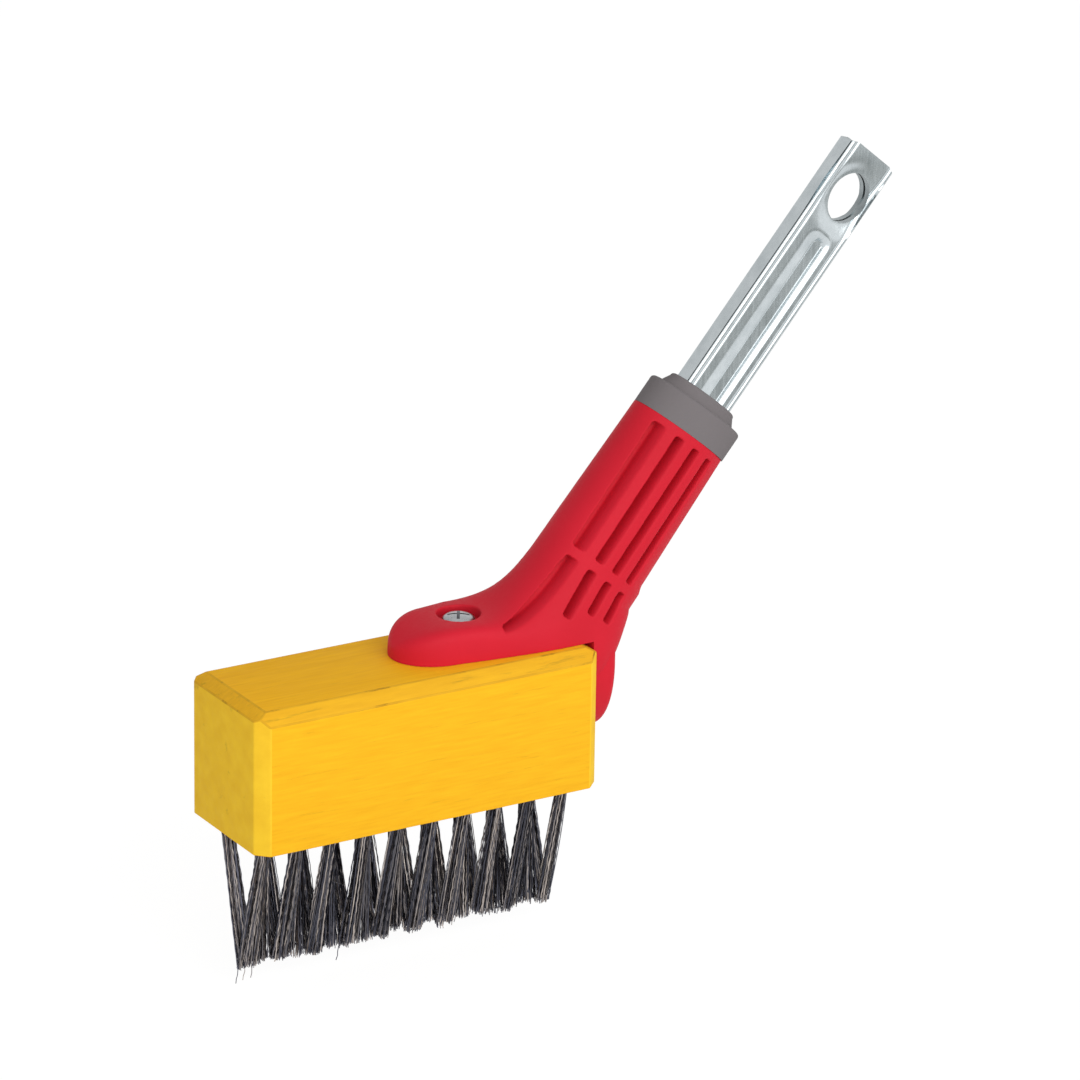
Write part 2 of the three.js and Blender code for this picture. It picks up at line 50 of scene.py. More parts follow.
# Block, with its box measured on the frame
block_low, block_high = (np.array(corner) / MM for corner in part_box("brush_block"))
BLOCK_SHIFT = (block_low[0] + block_high[0]) / 2
BLOCK_END = (block_high[0] - block_low[0]) / 2
BLOCK_HALF_WIDTH = block_high[1]
BLOCK_BOTTOM = block_low[2]
BLOCK_TOP = block_high[2]
EDGE_CHAMFER = 3.8
END_BEVEL_LENGTH = 4.1
END_BEVEL_DROP = 2.3
EDGE_SOFTNESS = 0.4

# A face lies flat in a direction if at least this part of its normal is along it, and stands upright if
# less than this part of its normal is along z
FLAT = 0.995
UPRIGHT = 0.05

# Order of the block's materials, and of those of the tongue and the screws, whose second is painted shade
BROAD_SIDE, END_GRAIN, CHAMFER, WORN_EDGE = range(4)
PLAIN, RECESS_SHADE = range(2)

# Wire tufts; pairs are along and across the row
ROW_NAMES = ("front", "middle", "rear")
TUFT_COLUMNS = 10
TUFT_END_MARGIN = 7.4
ROW_SPACING = 12.3
TIP_ROW_PLACES = (-1.4, 0.0, 0.4)
TUFT_HOLE_RADIUS = 2.6
TUFT_HOLE_DEPTH = 12.0
TUFT_HOLE_SIDES = 20
TUFT_RADIUS = 1.85
WIRES_PER_TUFT = 96
WIRE_RADIUS = 0.155
WIRE_SIDES = 3
WIRE_STEPS = 34
WIRE_ROOT = 4.0
CRIMP_LENGTH = 4.4
CRIMP_HEIGHT = 0.13
WIRE_BOW = 0.35
WIRE_DRIFT = 0.3
CLUMPS = 4
CLUMP_DRIFT = 0.55
CLUMP_DRIFT_SHARES = (1.0, 0.5)
TIP_SPREAD = (1.45, 0.9)
TIP_LOW = -1.4
TIP_RAGGEDNESS = 1.4
TUFT_RAGGEDNESS = 0.6
SEED = 20

# How many of a tuft's wires hang lower than the rest, by its row and column, how low they may hang, and the
# least and largest share of that
STRAYS = {(0, 0): 3, (0, 3): 1}
STRAY_DROP = 8.0
STRAY_DROP_SHARES = (0.7, 1.0)

# Bracket foot and tail
FOOT_LENGTH = 61.0
NOSE_LENGTH = 16.0
NOSE_HALF_WIDTH = 13.2
NOSE_HEIGHT = 2.5
NOSE_SQUARENESS = 2.2
FOOT_HEIGHT = 10.9
FOOT_HALF_WIDTH = 14.6
FOOT_SQUARENESS = 6.0
NECK_START = 36.0
NECK_HALF_WIDTH = 16.9
NECK_UPPER_POWER = 3
NECK_LOWER_POWER = 0.7
CROWN_FOOT_HANDLE = 9.0
CROWN_SHANK_HANDLE = 15.5
UNDERSIDE_REACH = 12.5
UNDERSIDE_DROP = 24.0
UNDERSIDE_SHANK_HANDLE = 17.0
TAIL_THICKNESS = 9.9
TAIL_OVERLAP = 4.0
TAIL_HALF_WIDTH = 15.2
TAIL_LENGTH = 33.4
TAIL_STRAIGHT = 9.5
TAIL_EDGE_RADIUS = 2.4
TAIL_EDGE_STEPS = 8
TAIL_FOOT_STEPS = 48
FIT_GAP = 0.15

# Bracket shank, along the handle axis from where it crosses the block's top
HANDLE_ANGLE = 50.0
AXIS_INSET = 8.0
SEAM_DISTANCE = 73.7
SHANK_START = 20.0
SHANK_DEPTH = 17.7
SHANK_UNDERSIDE_DEPTH = 17.2
SHANK_HALF_WIDTH = 13.6
SHANK_ROOT_DEPTH = 17.8
SHANK_HEEL_DEPTH = 19.2
SHANK_RECESSED_DEPTH = 18.4
SHANK_STEP = 1.5
SHANK_ROOT_HALF_WIDTH = 15.0
SHANK_ROOT_SQUARENESS = 2.2
SHANK_SQUARENESS = 2.0
SHANK_TUCK = 0.1

# Pockets in both sides of the bracket
POCKET_COUNT = 4
FIRST_POCKET_OFFSET = -13.4
POCKET_PITCH = 6.7
POCKET_WIDTH = 3.5
POCKET_CORNER = 0.7
POCKET_CORNER_STEPS = 5
POCKET_TOP = 2.6
BAND_START = 47.8
BAND_WIDTH = 3.4
LOWER_POCKET_LENGTHS = (16.1, 11.2, 10.4)
CURVED_POCKET_INSET = 4.5
CURVED_POCKET_TIP_INSET = 2.8
CURVED_POCKET_TIP = 2.0
CURVED_POCKET_BULGE = 0.25

# Shares of the crown's curve: where the curved pocket starts, how far its steps count on, past the
# curve's end, and the step that gives the curve's direction
CURVED_POCKET_START = 0.2
CURVED_POCKET_RUN = 1.15
CROWN_STEP = 0.01

# Each pocket's wall on the underside's side rounds over from the rim; the other walls are steep
POCKET_DEPTH = 4.6
POCKET_ROUND_DEPTH = 2.2
POCKET_ROUND_WIDTH = 0.9
POCKET_STEPS = 6

# The web in the middle plane, behind the pockets next to the crown
WEB_INSET = 0.4
WEB_NARROWING = 6.2

# The bracket's moulded edges are rounded by remeshing at this grain and smoothing by this factor, so many
# times; then this share of the faces is kept
MOULD_GRAIN = 0.27
MOULD_SMOOTHING = 0.5
MOULD_SMOOTHING_TIMES = 10
MOULD_THINNING = 0.28

# Collar and tongue, along the handle axis from the seam
COLLAR_HEIGHT = 9.6
BOSS_HEIGHT = 4.0
BOSS_INSET = 3.3
BOSS_TAPER = 1.4
BOSS_FILLET = 0.5
BOSS_FILLET_MIDDLE = 0.15
RIM_ROUND = 1.1
RIM_STEPS = 6
COLLAR_SIDES = 96
TONGUE_WIDTH = 19.8
TONGUE_THICKNESS = 7.2
TONGUE_CORNER = 0.8
TONGUE_REACH = 103.7
TONGUE_WALL = 1.2
TONGUE_HOLLOW = 1.0
TONGUE_CORNER_STEPS = 5
TONGUE_FACE_PLACES = 90
TONGUE_RINGS = 150
TIP_OPENING = 3.0
LOCK_HOLE_WIDTH = 14.2
LOCK_HOLE_LENGTH = 16.4
LOCK_HOLE_FROM_TIP = 15.3
LOCK_HOLE_OFFSET = 1.6
LOCK_HOLE_SIDES = 72
LOCK_HOLE_MARGIN = 0.01
HOLE_DISH_DEPTH = 0.9
HOLE_DISH_REACH = 3.0
BEAD_FROM_EDGE = 1.9
BEAD_HALF_WIDTH = 0.8
BEAD_DEPTH = 0.22
GROOVE_OFFSET = 2.4
GROOVE_FLOOR_HALF = 1.7
GROOVE_LEFT_FLANK = 5.6
GROOVE_RIGHT_FLANK = 1.8
GROOVE_END_FLANK = 2.4
GROOVE_DEPTH = 1.8
GROOVE_FROM_TIP = 28.5
GROOVE_STEP = 0.7
GROOVE_STEP_WIDTH = 0.5
SEAM_FROM_FACE = 0.6
SEAM_SLIT = 0.4
SEAM_GAPE = 0.7
SEAM_PLACES = 40
TIP_CHAMFER = 2.5
TIP_DROP = 1.1

# How far a cutting solid passes a surface, and a length that counts as none
CUT_CLEARANCE = 1.0
TINY = 1e-6

# Screws
SCREW_HEAD_RADIUS = 5.1
SCREW_HEAD_HEIGHT = 3.0
SCREW_HEAD_RIM = 0.9
SCREW_DOME_POWER = 0.4
SCREW_DOME_STEPS = 16
SCREW_TOP_RADIUS = 0.02
SCREW_SIDES = 48
SCREW_SHANK_RADIUS = 2.5
SCREW_LENGTH = 32.0
SCREW_POINT = 5.0
COUNTERBORE_RADIUS = 6.8
TOP_SCREW_SEAT = 7.8
TOP_SCREW_FROM_END = 38.0
TAIL_SCREW_SEAT = 5.5
TAIL_SCREW_DROP = 17.0
CROSS_ARM = 8.8
CROSS_FLOOR = 3.2
CROSS_SLOT = 0.9
CROSS_DEPTH = 2.2
CROSS_CLEARANCE = 0.5
CROSS_TURN = -31.0
CROSS_ABOVE_SEAT = 0.1
CROSS_BELOW_DOME = 0.08

# Camera fitted to the photograph
CAMERA_AZIMUTH = -31.22
CAMERA_ELEVATION = 20.39
CAMERA_ROLL = 0.93
CAMERA_DISTANCE = 2000.0
CAMERA_SHIFT = (43.59, 57.13)
CAMERA_LENS = 220.0

# The camera's range, the floor and the key light, in metres and watts
CAMERA_RANGE = 20.0
FLOOR_REACH = 6.0
KEY_PLACE = (-0.2, -2.2, 1.15)
KEY_TARGET = (0, 0, 0.11)
KEY_SIZE = (4.0, 2.2)
KEY_POWER = 52

# Corners of the grey cards, in metres: one for the tongue's broad face and one for the edge beside it
CARDS = {
    "face_card": ((0.15, -0.7), (0.6, -0.7), (0.6, -0.28), (0.15, -0.22)),
    "edge_card": ((0.2, 0.06), (0.6, 0.06), (0.6, 0.5), (0.2, 0.5)),
}
CARD_PALE = (0.6, 0.61, 0.6)
CARD_DEEP = (0.34, 0.36, 0.35)

# The floor's glow and its share in what is seen, and the grey that takes the shadow
FLOOR_GLOW = 1.08
FLOOR_GLOW_SHARE = 0.86
FLOOR_GREY = 0.86

# The white surround's level as it lights things and as it is seen, the direction in which it is dimmest,
# how nearly that way the dimming starts, and what is left there
SURROUND_LIGHTING = 0.55
SURROUND_SEEN = 1.0
DIM_DIRECTION = (-0.43, 0.8, 0.42)
DIM_START = 0.6
DIM_SHARE = 0.75

# Most of a noise's values lie in this range, and a streak of thin paint fades in over this much of it
NOISE_RANGE = (0.3, 0.7)
STREAK_EDGE = 0.12

# Directions of the handle, as (x, z) pairs
RISE = math.radians(HANDLE_ANGLE)
ALONG = np.array([math.cos(RISE), math.sin(RISE)])
UNDER = np.array([math.sin(RISE), -math.cos(RISE)])
NECK_ORIGIN = np.array([BLOCK_END - AXIS_INSET, BLOCK_TOP])
SEAM = NECK_ORIGIN + SEAM_DISTANCE * ALONG


# Mesh helpers
def to_metres(points):
    return (np.asarray(points, float) + [BLOCK_SHIFT, 0, 0]) * MM


def make_object(name, points, faces):
    mesh = bpy.data.meshes.new(name)
    mesh.from_pydata(to_metres(points).tolist(), [], faces)
    piece = bpy.data.objects.new(name, mesh)
    bpy.context.scene.collection.objects.link(piece)
    work = bmesh.new()
    work.from_mesh(mesh)
    bmesh.ops.recalc_face_normals(work, faces=work.faces)
    work.to_mesh(mesh)
    work.free()
    return piece


def bake_modifiers(piece):
    graph = bpy.context.evaluated_depsgraph_get()
    baked = bpy.data.meshes.new_from_object(piece.evaluated_get(graph))
    old = piece.data
    piece.modifiers.clear()
    piece.data = baked
    bpy.data.meshes.remove(old)


def combine(piece, tools, operation="DIFFERENCE"):
    for tool in tools:
        step = piece.modifiers.new("combine", "BOOLEAN")
        step.operation = operation
        step.solver = "MANIFOLD"
        step.object = tool
        bake_modifiers(piece)
        bpy.data.objects.remove(tool)


def shade(piece, sharp_degrees):
    piece.data.shade_smooth()
    piece.data.set_sharp_from_angle(angle=math.radians(sharp_degrees))


def loft(rings):
    """Joins rings of equally many points into one closed solid, with both ends capped."""
    count = len(rings[0])
    faces = []
    for i in range(len(rings) - 1):
        for j in range(count):
            k = (j + 1) % count
            faces.append((i * count + j, i * count + k, (i + 1) * count + k, (i + 1) * count + j))
    faces.append(tuple(range(count)))
    faces.append(tuple(range((len(rings) - 1) * count, len(rings) * count)))
    return np.concatenate(rings), faces


def prisms(name, outlines, low, high):
    """Straight-sided solids in one object: outlines of (x, z) points, from one y to another."""
    points, faces = [], []
    for outline in outlines:
        corners, sides = loft([np.array([(x, y, z) for x, z in outline]) for y in (low, high)])
        faces.extend(tuple(len(points) + k for k in side) for side in sides)
        points.extend(corners)
    return make_object(name, points, faces)


def rod(name, radius, bottom, top, sides, matrix):
    """A cylinder along its own z, then moved by a matrix in millimetres."""
    turn = np.arange(sides) / sides * 2 * math.pi
    circle = np.stack([radius * np.cos(turn), radius * np.sin(turn)], axis=1)
    rings = [np.column_stack([circle, np.full(sides, z)]) for z in (bottom, top)]
    points, faces = loft(rings)
    return make_object(name, moved(points, matrix), faces)


def moved(points, matrix):
    return np.array([matrix @ Vector(point) for point in points])


def from_handle(points):
    """From the handle's frame, with x across, y sideways and z along from the seam, to the brush's."""
    points = np.asarray(points, float)
    place = SEAM + points[:, :1] * UNDER + points[:, 2:] * ALONG
    return np.column_stack([place[:, 0], points[:, 1], place[:, 1]])


def smooth_step(value):
    value = np.clip(value, 0, 1)
    return value * value * (3 - 2 * value)


def mix(start, end, share):
    return start + (end - start) * share


# Wooden block
def cut_by_plane(work, place, normal):
    everything = work.verts[:] + work.edges[:] + work.faces[:]
    cut = bmesh.ops.bisect_plane(
        work, geom=everything, plane_co=place, plane_no=normal, clear_outer=True)
    rim = [item for item in cut["geom_cut"] if isinstance(item, bmesh.types.BMEdge)]
    bmesh.ops.contextual_create(work, geom=rim)


def tuft_count(row):
    """The middle row is staggered: it has one tuft fewer, between those of the outer rows."""
    return TUFT_COLUMNS - 1 if row == 1 else TUFT_COLUMNS


def tuft_x(row, column):
    pitch = 2 * (BLOCK_END - TUFT_END_MARGIN) / (TUFT_COLUMNS - 1)
    return (column - (tuft_count(row) - 1) / 2) * pitch


def row_root(row):
    return (row - 1) * ROW_SPACING


def tuft_hole(row, column):
    lean = math.atan((row_root(row) - TIP_ROW_PLACES[row]) / BLOCK_BOTTOM)
    frame_matrix = Matrix.Translation((tuft_x(row, column), row_root(row), BLOCK_BOTTOM))
    frame_matrix = frame_matrix @ Matrix.Rotation(-lean, 4, "X")
    return rod(
        "tuft_hole", TUFT_HOLE_RADIUS, -TUFT_HOLE_RADIUS, TUFT_HOLE_DEPTH, TUFT_HOLE_SIDES, frame_matrix)


def make_block():
    work = bmesh.new()
    bmesh.ops.create_cube(work, size=1)
    size = Vector((2 * BLOCK_END, 2 * BLOCK_HALF_WIDTH, BLOCK_TOP - BLOCK_BOTTOM))
    middle = Vector((BLOCK_SHIFT, 0, (BLOCK_TOP + BLOCK_BOTTOM) / 2))
    bmesh.ops.scale(work, vec=size * MM, verts=work.verts)
    bmesh.ops.translate(work, vec=middle * MM, verts=work.verts)
    for end in (-1, 1):
        for side in (-1, 1):
            corner = Vector((BLOCK_SHIFT + end * (BLOCK_END - EDGE_CHAMFER), side * BLOCK_HALF_WIDTH, 0))
            cut_by_plane(work, corner * MM, (end, side, 0))
        bevel_start = Vector((BLOCK_SHIFT + end * BLOCK_END, 0, BLOCK_TOP - END_BEVEL_DROP))
        cut_by_plane(work, bevel_start * MM, (end * END_BEVEL_DROP, 0, END_BEVEL_LENGTH))
    for side in (-1, 1):
        edge = Vector((BLOCK_SHIFT, side * BLOCK_HALF_WIDTH, BLOCK_TOP - EDGE_CHAMFER))
        cut_by_plane(work, edge * MM, (0, side, 1))
    bmesh.ops.bevel(
        work, geom=work.edges[:], offset=EDGE_SOFTNESS * MM, segments=3, profile=0.5, affect="EDGES",
        clamp_overlap=True)
    bmesh.ops.recalc_face_normals(work, faces=work.faces)
    mesh = bpy.data.meshes.new("block")
    work.to_mesh(mesh)
    work.free()
    piece = bpy.data.objects.new("block", mesh)
    bpy.context.scene.collection.objects.link(piece)
    rows = range(len(ROW_NAMES))
    combine(piece, [tuft_hole(row, column) for row in rows for column in range(tuft_count(row))])
    shade(piece, sharp_degrees=20)
    return piece


# Wire tufts: each wire runs from its hole to a ragged tip, with a crimp along it
def wire_tube(centres, turn):
    count = len(centres)
    angle = turn + np.arange(WIRE_SIDES) / WIRE_SIDES * 2 * math.pi
    ring = np.column_stack([np.cos(angle), np.sin(angle), np.zeros(WIRE_SIDES)]) * WIRE_RADIUS
    points = (centres[:, None, :] + ring[None, :, :]).reshape(-1, 3)
    i, j = np.meshgrid(np.arange(count - 1), np.arange(WIRE_SIDES), indexing="ij")
    k = (j + 1) % WIRE_SIDES
    sides = np.stack([i, i, i + 1, i + 1]) * WIRE_SIDES + np.stack([k, j, j, k])
    return points, sides.reshape(4, -1).T


def wire_centres(row, column, place, drift, tip_z, dice):
    root = np.array([tuft_x(row, column), row_root(row)]) + place
    tip = np.array([tuft_x(row, column), TIP_ROW_PLACES[row]]) + place * TIP_SPREAD + drift
    z = np.linspace(BLOCK_BOTTOM + WIRE_ROOT, tip_z, WIRE_STEPS)
    share = (BLOCK_BOTTOM - z) / BLOCK_BOTTOM
    bow = dice.normal(0, WIRE_BOW, 2)
    line = root + np.outer(share, tip - root) + np.outer(np.sin(np.clip(share, 0, 1) * math.pi), bow)
    heading = dice.uniform(0, 2 * math.pi)
    wave = np.sin(z / CRIMP_LENGTH * 2 * math.pi + dice.uniform(0, 2 * math.pi))
    crimp = np.outer(wave * CRIMP_HEIGHT, [math.cos(heading), math.sin(heading)])
    return np.column_stack([line + crimp, z])


def tuft_places():
    """Even places over the tuft's round section, from the middle outwards."""
    index = np.arange(WIRES_PER_TUFT) + 0.5
    radius = TUFT_RADIUS * np.sqrt(index / WIRES_PER_TUFT)
    angle = index * math.pi * (3 - math.sqrt(5))
    return np.column_stack([radius * np.cos(angle), radius * np.sin(angle)])


def make_wire_row(row):
    dice = np.random.default_rng(SEED + row)
    points, faces, start = [], [], 0
    for column in range(tuft_count(row)):
        drifts = dice.normal(0, CLUMP_DRIFT, (CLUMPS, 2)) * CLUMP_DRIFT_SHARES
        lifts = dice.normal(0, TUFT_RAGGEDNESS) + dice.normal(0, TUFT_RAGGEDNESS, CLUMPS)
        strays = STRAYS.get((row, column), 0)
        for index, place in enumerate(tuft_places()):
            clump = int((math.atan2(place[1], place[0]) / (2 * math.pi) + 0.5) * CLUMPS) % CLUMPS
            drift = drifts[clump] + dice.normal(0, WIRE_DRIFT, 2)
            tip_z = TIP_LOW + lifts[clump] + abs(dice.normal(0, TIP_RAGGEDNESS))
            if index >= WIRES_PER_TUFT - strays:
                tip_z = dice.uniform(*STRAY_DROP_SHARES) * -STRAY_DROP
            centres = wire_centres(row, column, place, drift, tip_z, dice)
            tube, quads = wire_tube(centres, dice.uniform(0, 2 * math.pi))
            points.append(tube)
            faces.append(quads + start)
            start += len(tube)
    piece = make_object(f"wires_{ROW_NAMES[row]}", np.concatenate(points), np.concatenate(faces).tolist())
    shade(piece, sharp_degrees=60)
    return piece


# Bracket
def bracket_ring(top, bottom, half_width, squareness, lower_squareness, inset, sides=160):
    """A rounded ring between two (x, z) points of the middle plane, drawn in on all sides by an inset."""
    angle = np.arange(sides) / sides * 2 * math.pi
    power = np.where(np.sin(angle) < 0, lower_squareness, squareness)
    lift = np.sign(np.sin(angle)) * np.abs(np.sin(angle)) ** (2 / power)
    reach = np.sign(np.cos(angle)) * np.abs(np.cos(angle)) ** (2 / power)
    middle = (top + bottom) / 2
    rise = (top - bottom) / 2
    rise = rise * (1 - inset / np.hypot(*rise))
    return np.column_stack([
        middle[0] + rise[0] * lift, (half_width - inset) * reach, middle[1] + rise[1] * lift])


def shank_point(distance, offset):
    return NECK_ORIGIN + distance * ALONG + offset * UNDER


def bezier(controls, share):
    a, b, c, d = controls
    back = 1 - share
    return back ** 3 * a + 3 * back ** 2 * share * b + 3 * back * share ** 2 * c + share ** 3 * d


NECK_X = BLOCK_END - NECK_START
CROWN_END = shank_point(SHANK_START, -SHANK_ROOT_DEPTH)
CROWN = (
    np.array([NECK_X, BLOCK_TOP + FOOT_HEIGHT]),
    np.array([NECK_X + CROWN_FOOT_HANDLE, BLOCK_TOP + FOOT_HEIGHT]),
    CROWN_END - CROWN_SHANK_HANDLE * ALONG,
    CROWN_END)
UNDERSIDE_END = shank_point(SHANK_START, SHANK_HEEL_DEPTH)
UNDERSIDE = (
    np.array([NECK_X, BLOCK_TOP - FOOT_HEIGHT]),
    np.array([BLOCK_END + UNDERSIDE_REACH, BLOCK_TOP - UNDERSIDE_DROP]),
    UNDERSIDE_END - UNDERSIDE_SHANK_HANDLE * ALONG,
    UNDERSIDE_END)


def nose_rings(steps=24):
    rings = []
    for i in range(steps):
        turn = (i + 1) / steps * math.pi / 2
        share = math.sin(turn)
        x = BLOCK_END - FOOT_LENGTH + NOSE_LENGTH * (1 - math.cos(turn))
        height = mix(NOSE_HEIGHT, FOOT_HEIGHT, share)
        squareness = mix(NOSE_SQUARENESS, FOOT_SQUARENESS, share)
        rings.append(bracket_ring(
            np.array([x, BLOCK_TOP + height]), np.array([x, BLOCK_TOP - height]),
            NOSE_HALF_WIDTH * share, squareness, squareness, 0))
    return rings


def neck_rings(inset, narrowing=0, steps=48):
    rings = []
    for i in range(steps):
        share = i / steps
        bulge = 4 * share * (1 - share)
        width = mix(FOOT_HALF_WIDTH, SHANK_ROOT_HALF_WIDTH, share)
        upper = mix(SHANK_ROOT_SQUARENESS, FOOT_SQUARENESS, (1 - share) ** NECK_UPPER_POWER)
        lower = mix(SHANK_ROOT_SQUARENESS, FOOT_SQUARENESS, (1 - share) ** NECK_LOWER_POWER)
        half_width = mix(width, NECK_HALF_WIDTH, bulge) - narrowing
        rings.append(bracket_ring(
            bezier(CROWN, share), bezier(UNDERSIDE, share), half_width, upper, lower, inset))
    return rings


BAND_TOP = SEAM_DISTANCE - BAND_START
BAND_BOTTOM = BAND_TOP - BAND_WIDTH


def shank_rings(inset, narrowing=0, steps=48):
    rings = []
    for i in range(steps + 1):
        share = i / steps
        distance = mix(SHANK_START, SEAM_DISTANCE + SHANK_TUCK, share)
        crown_depth = mix(SHANK_ROOT_DEPTH, SHANK_DEPTH, share)
        recessed_depth = mix(SHANK_RECESSED_DEPTH, SHANK_UNDERSIDE_DEPTH, share)
        past_heel = smooth_step((distance - BAND_TOP) / SHANK_STEP)
        underside_depth = mix(SHANK_HEEL_DEPTH, recessed_depth, past_heel)
        half_width = mix(SHANK_ROOT_HALF_WIDTH, SHANK_HALF_WIDTH, share) - narrowing
        squareness = mix(SHANK_ROOT_SQUARENESS, SHANK_SQUARENESS, share)
        rings.append(bracket_ring(
            shank_point(distance, -crown_depth), shank_point(distance, underside_depth), half_width,
            squareness, squareness, inset))
    return rings


def tail_ring(x, inset):
    """The tail's outline in the plane of the block's end: straight sides and an elliptical foot."""
    half = TAIL_HALF_WIDTH - inset
    turn = np.linspace(0, math.pi, TAIL_FOOT_STEPS + 1)
    foot_y = half * np.cos(turn)
    foot_z = -TAIL_STRAIGHT - (TAIL_LENGTH - TAIL_STRAIGHT - inset) * np.sin(turn)
    y = np.concatenate([[half], foot_y, [-half]])
    z = np.concatenate([[0], foot_z, [0]])
    return np.column_stack([np.full(len(y), x), y, z + BLOCK_TOP])


def make_tail():
    rings = [tail_ring(BLOCK_END - TAIL_OVERLAP, 0)]
    for i in range(TAIL_EDGE_STEPS + 1):
        turn = i / TAIL_EDGE_STEPS * math.pi / 2
        x = BLOCK_END + TAIL_THICKNESS - TAIL_EDGE_RADIUS * (1 - math.sin(turn))
        rings.append(tail_ring(x, TAIL_EDGE_RADIUS * (1 - math.cos(turn))))
    return make_object("tail", *loft(rings))


def straight_pocket(offset, start, end, under_inset):
    crown_side = offset - POCKET_WIDTH / 2 + POCKET_CORNER
    under_side = offset + POCKET_WIDTH / 2 - POCKET_CORNER - under_inset
    top = end - POCKET_CORNER
    bottom = start + POCKET_CORNER
    corners = ((top, under_side), (top, crown_side), (bottom, crown_side), (bottom, under_side))
    quarter = np.linspace(0, math.pi / 2, POCKET_CORNER_STEPS + 1)
    outline = []
    for i, (distance, across) in enumerate(corners):
        for turn in quarter + (i - 1) * math.pi / 2:
            outline.append(shank_point(
                distance + POCKET_CORNER * math.cos(turn), across - POCKET_CORNER * math.sin(turn)))
    return outline


def curved_pocket(under_inset, steps=24):
    insets = {-1: 0, 1: under_inset}
    edges = {-1: [], 1: []}
    for i in range(steps + 1):
        share = i / steps
        along_crown = min(mix(CURVED_POCKET_START, CURVED_POCKET_RUN, share), 1)
        ahead = bezier(CROWN, along_crown) - bezier(CROWN, along_crown - CROWN_STEP)
        inward = np.array([ahead[1], -ahead[0]]) / np.hypot(*ahead)
        place = bezier(CROWN, along_crown)
        if share == 1:
            place = shank_point(BAND_BOTTOM, -SHANK_ROOT_DEPTH)
        width = mix(CURVED_POCKET_TIP, POCKET_WIDTH, share)
        half = width / 2 + CURVED_POCKET_BULGE * 4 * share * (1 - share)
        inset = mix(CURVED_POCKET_TIP_INSET, CURVED_POCKET_INSET, share)
        for side in edges:
            edges[side].append(place + inward * (inset + side * (half - insets[side] * width / POCKET_WIDTH)))
    return edges[1] + edges[-1][::-1]


def pocket_outlines(under_inset):
    outlines = [curved_pocket(under_inset)]
    for i in range(POCKET_COUNT):
        offset = FIRST_POCKET_OFFSET + i * POCKET_PITCH
        outlines.append(straight_pocket(offset, BAND_TOP, SEAM_DISTANCE - POCKET_TOP, under_inset))
        if i > 0:
            start = BAND_BOTTOM - LOWER_POCKET_LENGTHS[i - 1]
            outlines.append(straight_pocket(offset, start, BAND_BOTTOM, under_inset))
    return outlines


TOP_SCREW_FRAME = Matrix.Translation((BLOCK_END - TOP_SCREW_FROM_END, 0, BLOCK_TOP + TOP_SCREW_SEAT))
TAIL_SCREW_FRAME = (
    Matrix.Translation((BLOCK_END + TAIL_SCREW_SEAT, 0, BLOCK_TOP - TAIL_SCREW_DROP))
    @ Matrix.Rotation(math.pi / 2, 4, "Y"))


# From the handle's frame to the brush's, in metres
HANDLE_FRAME = Matrix((
    (UNDER[0], 0, ALONG[0], (SEAM[0] + BLOCK_SHIFT) * MM),
    (0, 1, 0, 0),
    (UNDER[1], 0, ALONG[1], SEAM[1] * MM),
    (0, 0, 0, 1)))


def round_mouldings(piece):
    """Rounds every edge by remeshing, in the handle's frame, so that the pockets lie along the grain."""
    piece.data.transform(HANDLE_FRAME.inverted())
    remesh = piece.modifiers.new("grain", "REMESH")
    remesh.mode = "VOXEL"
    remesh.voxel_size = MOULD_GRAIN * MM
    soften = piece.modifiers.new("soften", "SMOOTH")
    soften.factor = MOULD_SMOOTHING
    soften.iterations = MOULD_SMOOTHING_TIMES
    thin = piece.modifiers.new("thin", "DECIMATE")
    thin.ratio = MOULD_THINNING
    bake_modifiers(piece)
    piece.data.transform(HANDLE_FRAME)


def make_bracket():
    piece = make_object("bracket_moulding", *loft(nose_rings() + neck_rings(0) + shank_rings(0)))
    far = 4 * BLOCK_END
    for i in range(POCKET_STEPS):
        turn = i / (POCKET_STEPS - 1) * math.pi / 2
        outlines = pocket_outlines(POCKET_ROUND_WIDTH * math.sin(turn))
        combine(piece, [prisms("pockets", outlines, -far, far)])
        next_turn = (i + 1) / (POCKET_STEPS - 1) * math.pi / 2
        depth = POCKET_ROUND_DEPTH * (1 - math.cos(next_turn)) if i < POCKET_STEPS - 1 else POCKET_DEPTH
        combine(piece, [make_object("core", *loft(neck_rings(depth) + shank_rings(depth)))], "UNION")
    web = loft(neck_rings(WEB_INSET, WEB_NARROWING) + shank_rings(WEB_INSET, WEB_NARROWING))
    combine(piece, [make_object("web", *web), make_tail()], "UNION")
    for screw_frame in (TOP_SCREW_FRAME, TAIL_SCREW_FRAME):
        seat = rod("screw_seat", COUNTERBORE_RADIUS, 0, 2 * FOOT_HEIGHT, SCREW_SIDES, screw_frame)
        combine(piece, [seat])
    round_mouldings(piece)
    room = [
        (-far, -far), (BLOCK_END + FIT_GAP, -far), (BLOCK_END + FIT_GAP, BLOCK_TOP + FIT_GAP),
        (-far, BLOCK_TOP + FIT_GAP)]
    combine(piece, [prisms("block_room", [room], -far, far)])
    shade(piece, sharp_degrees=50)
    return piece


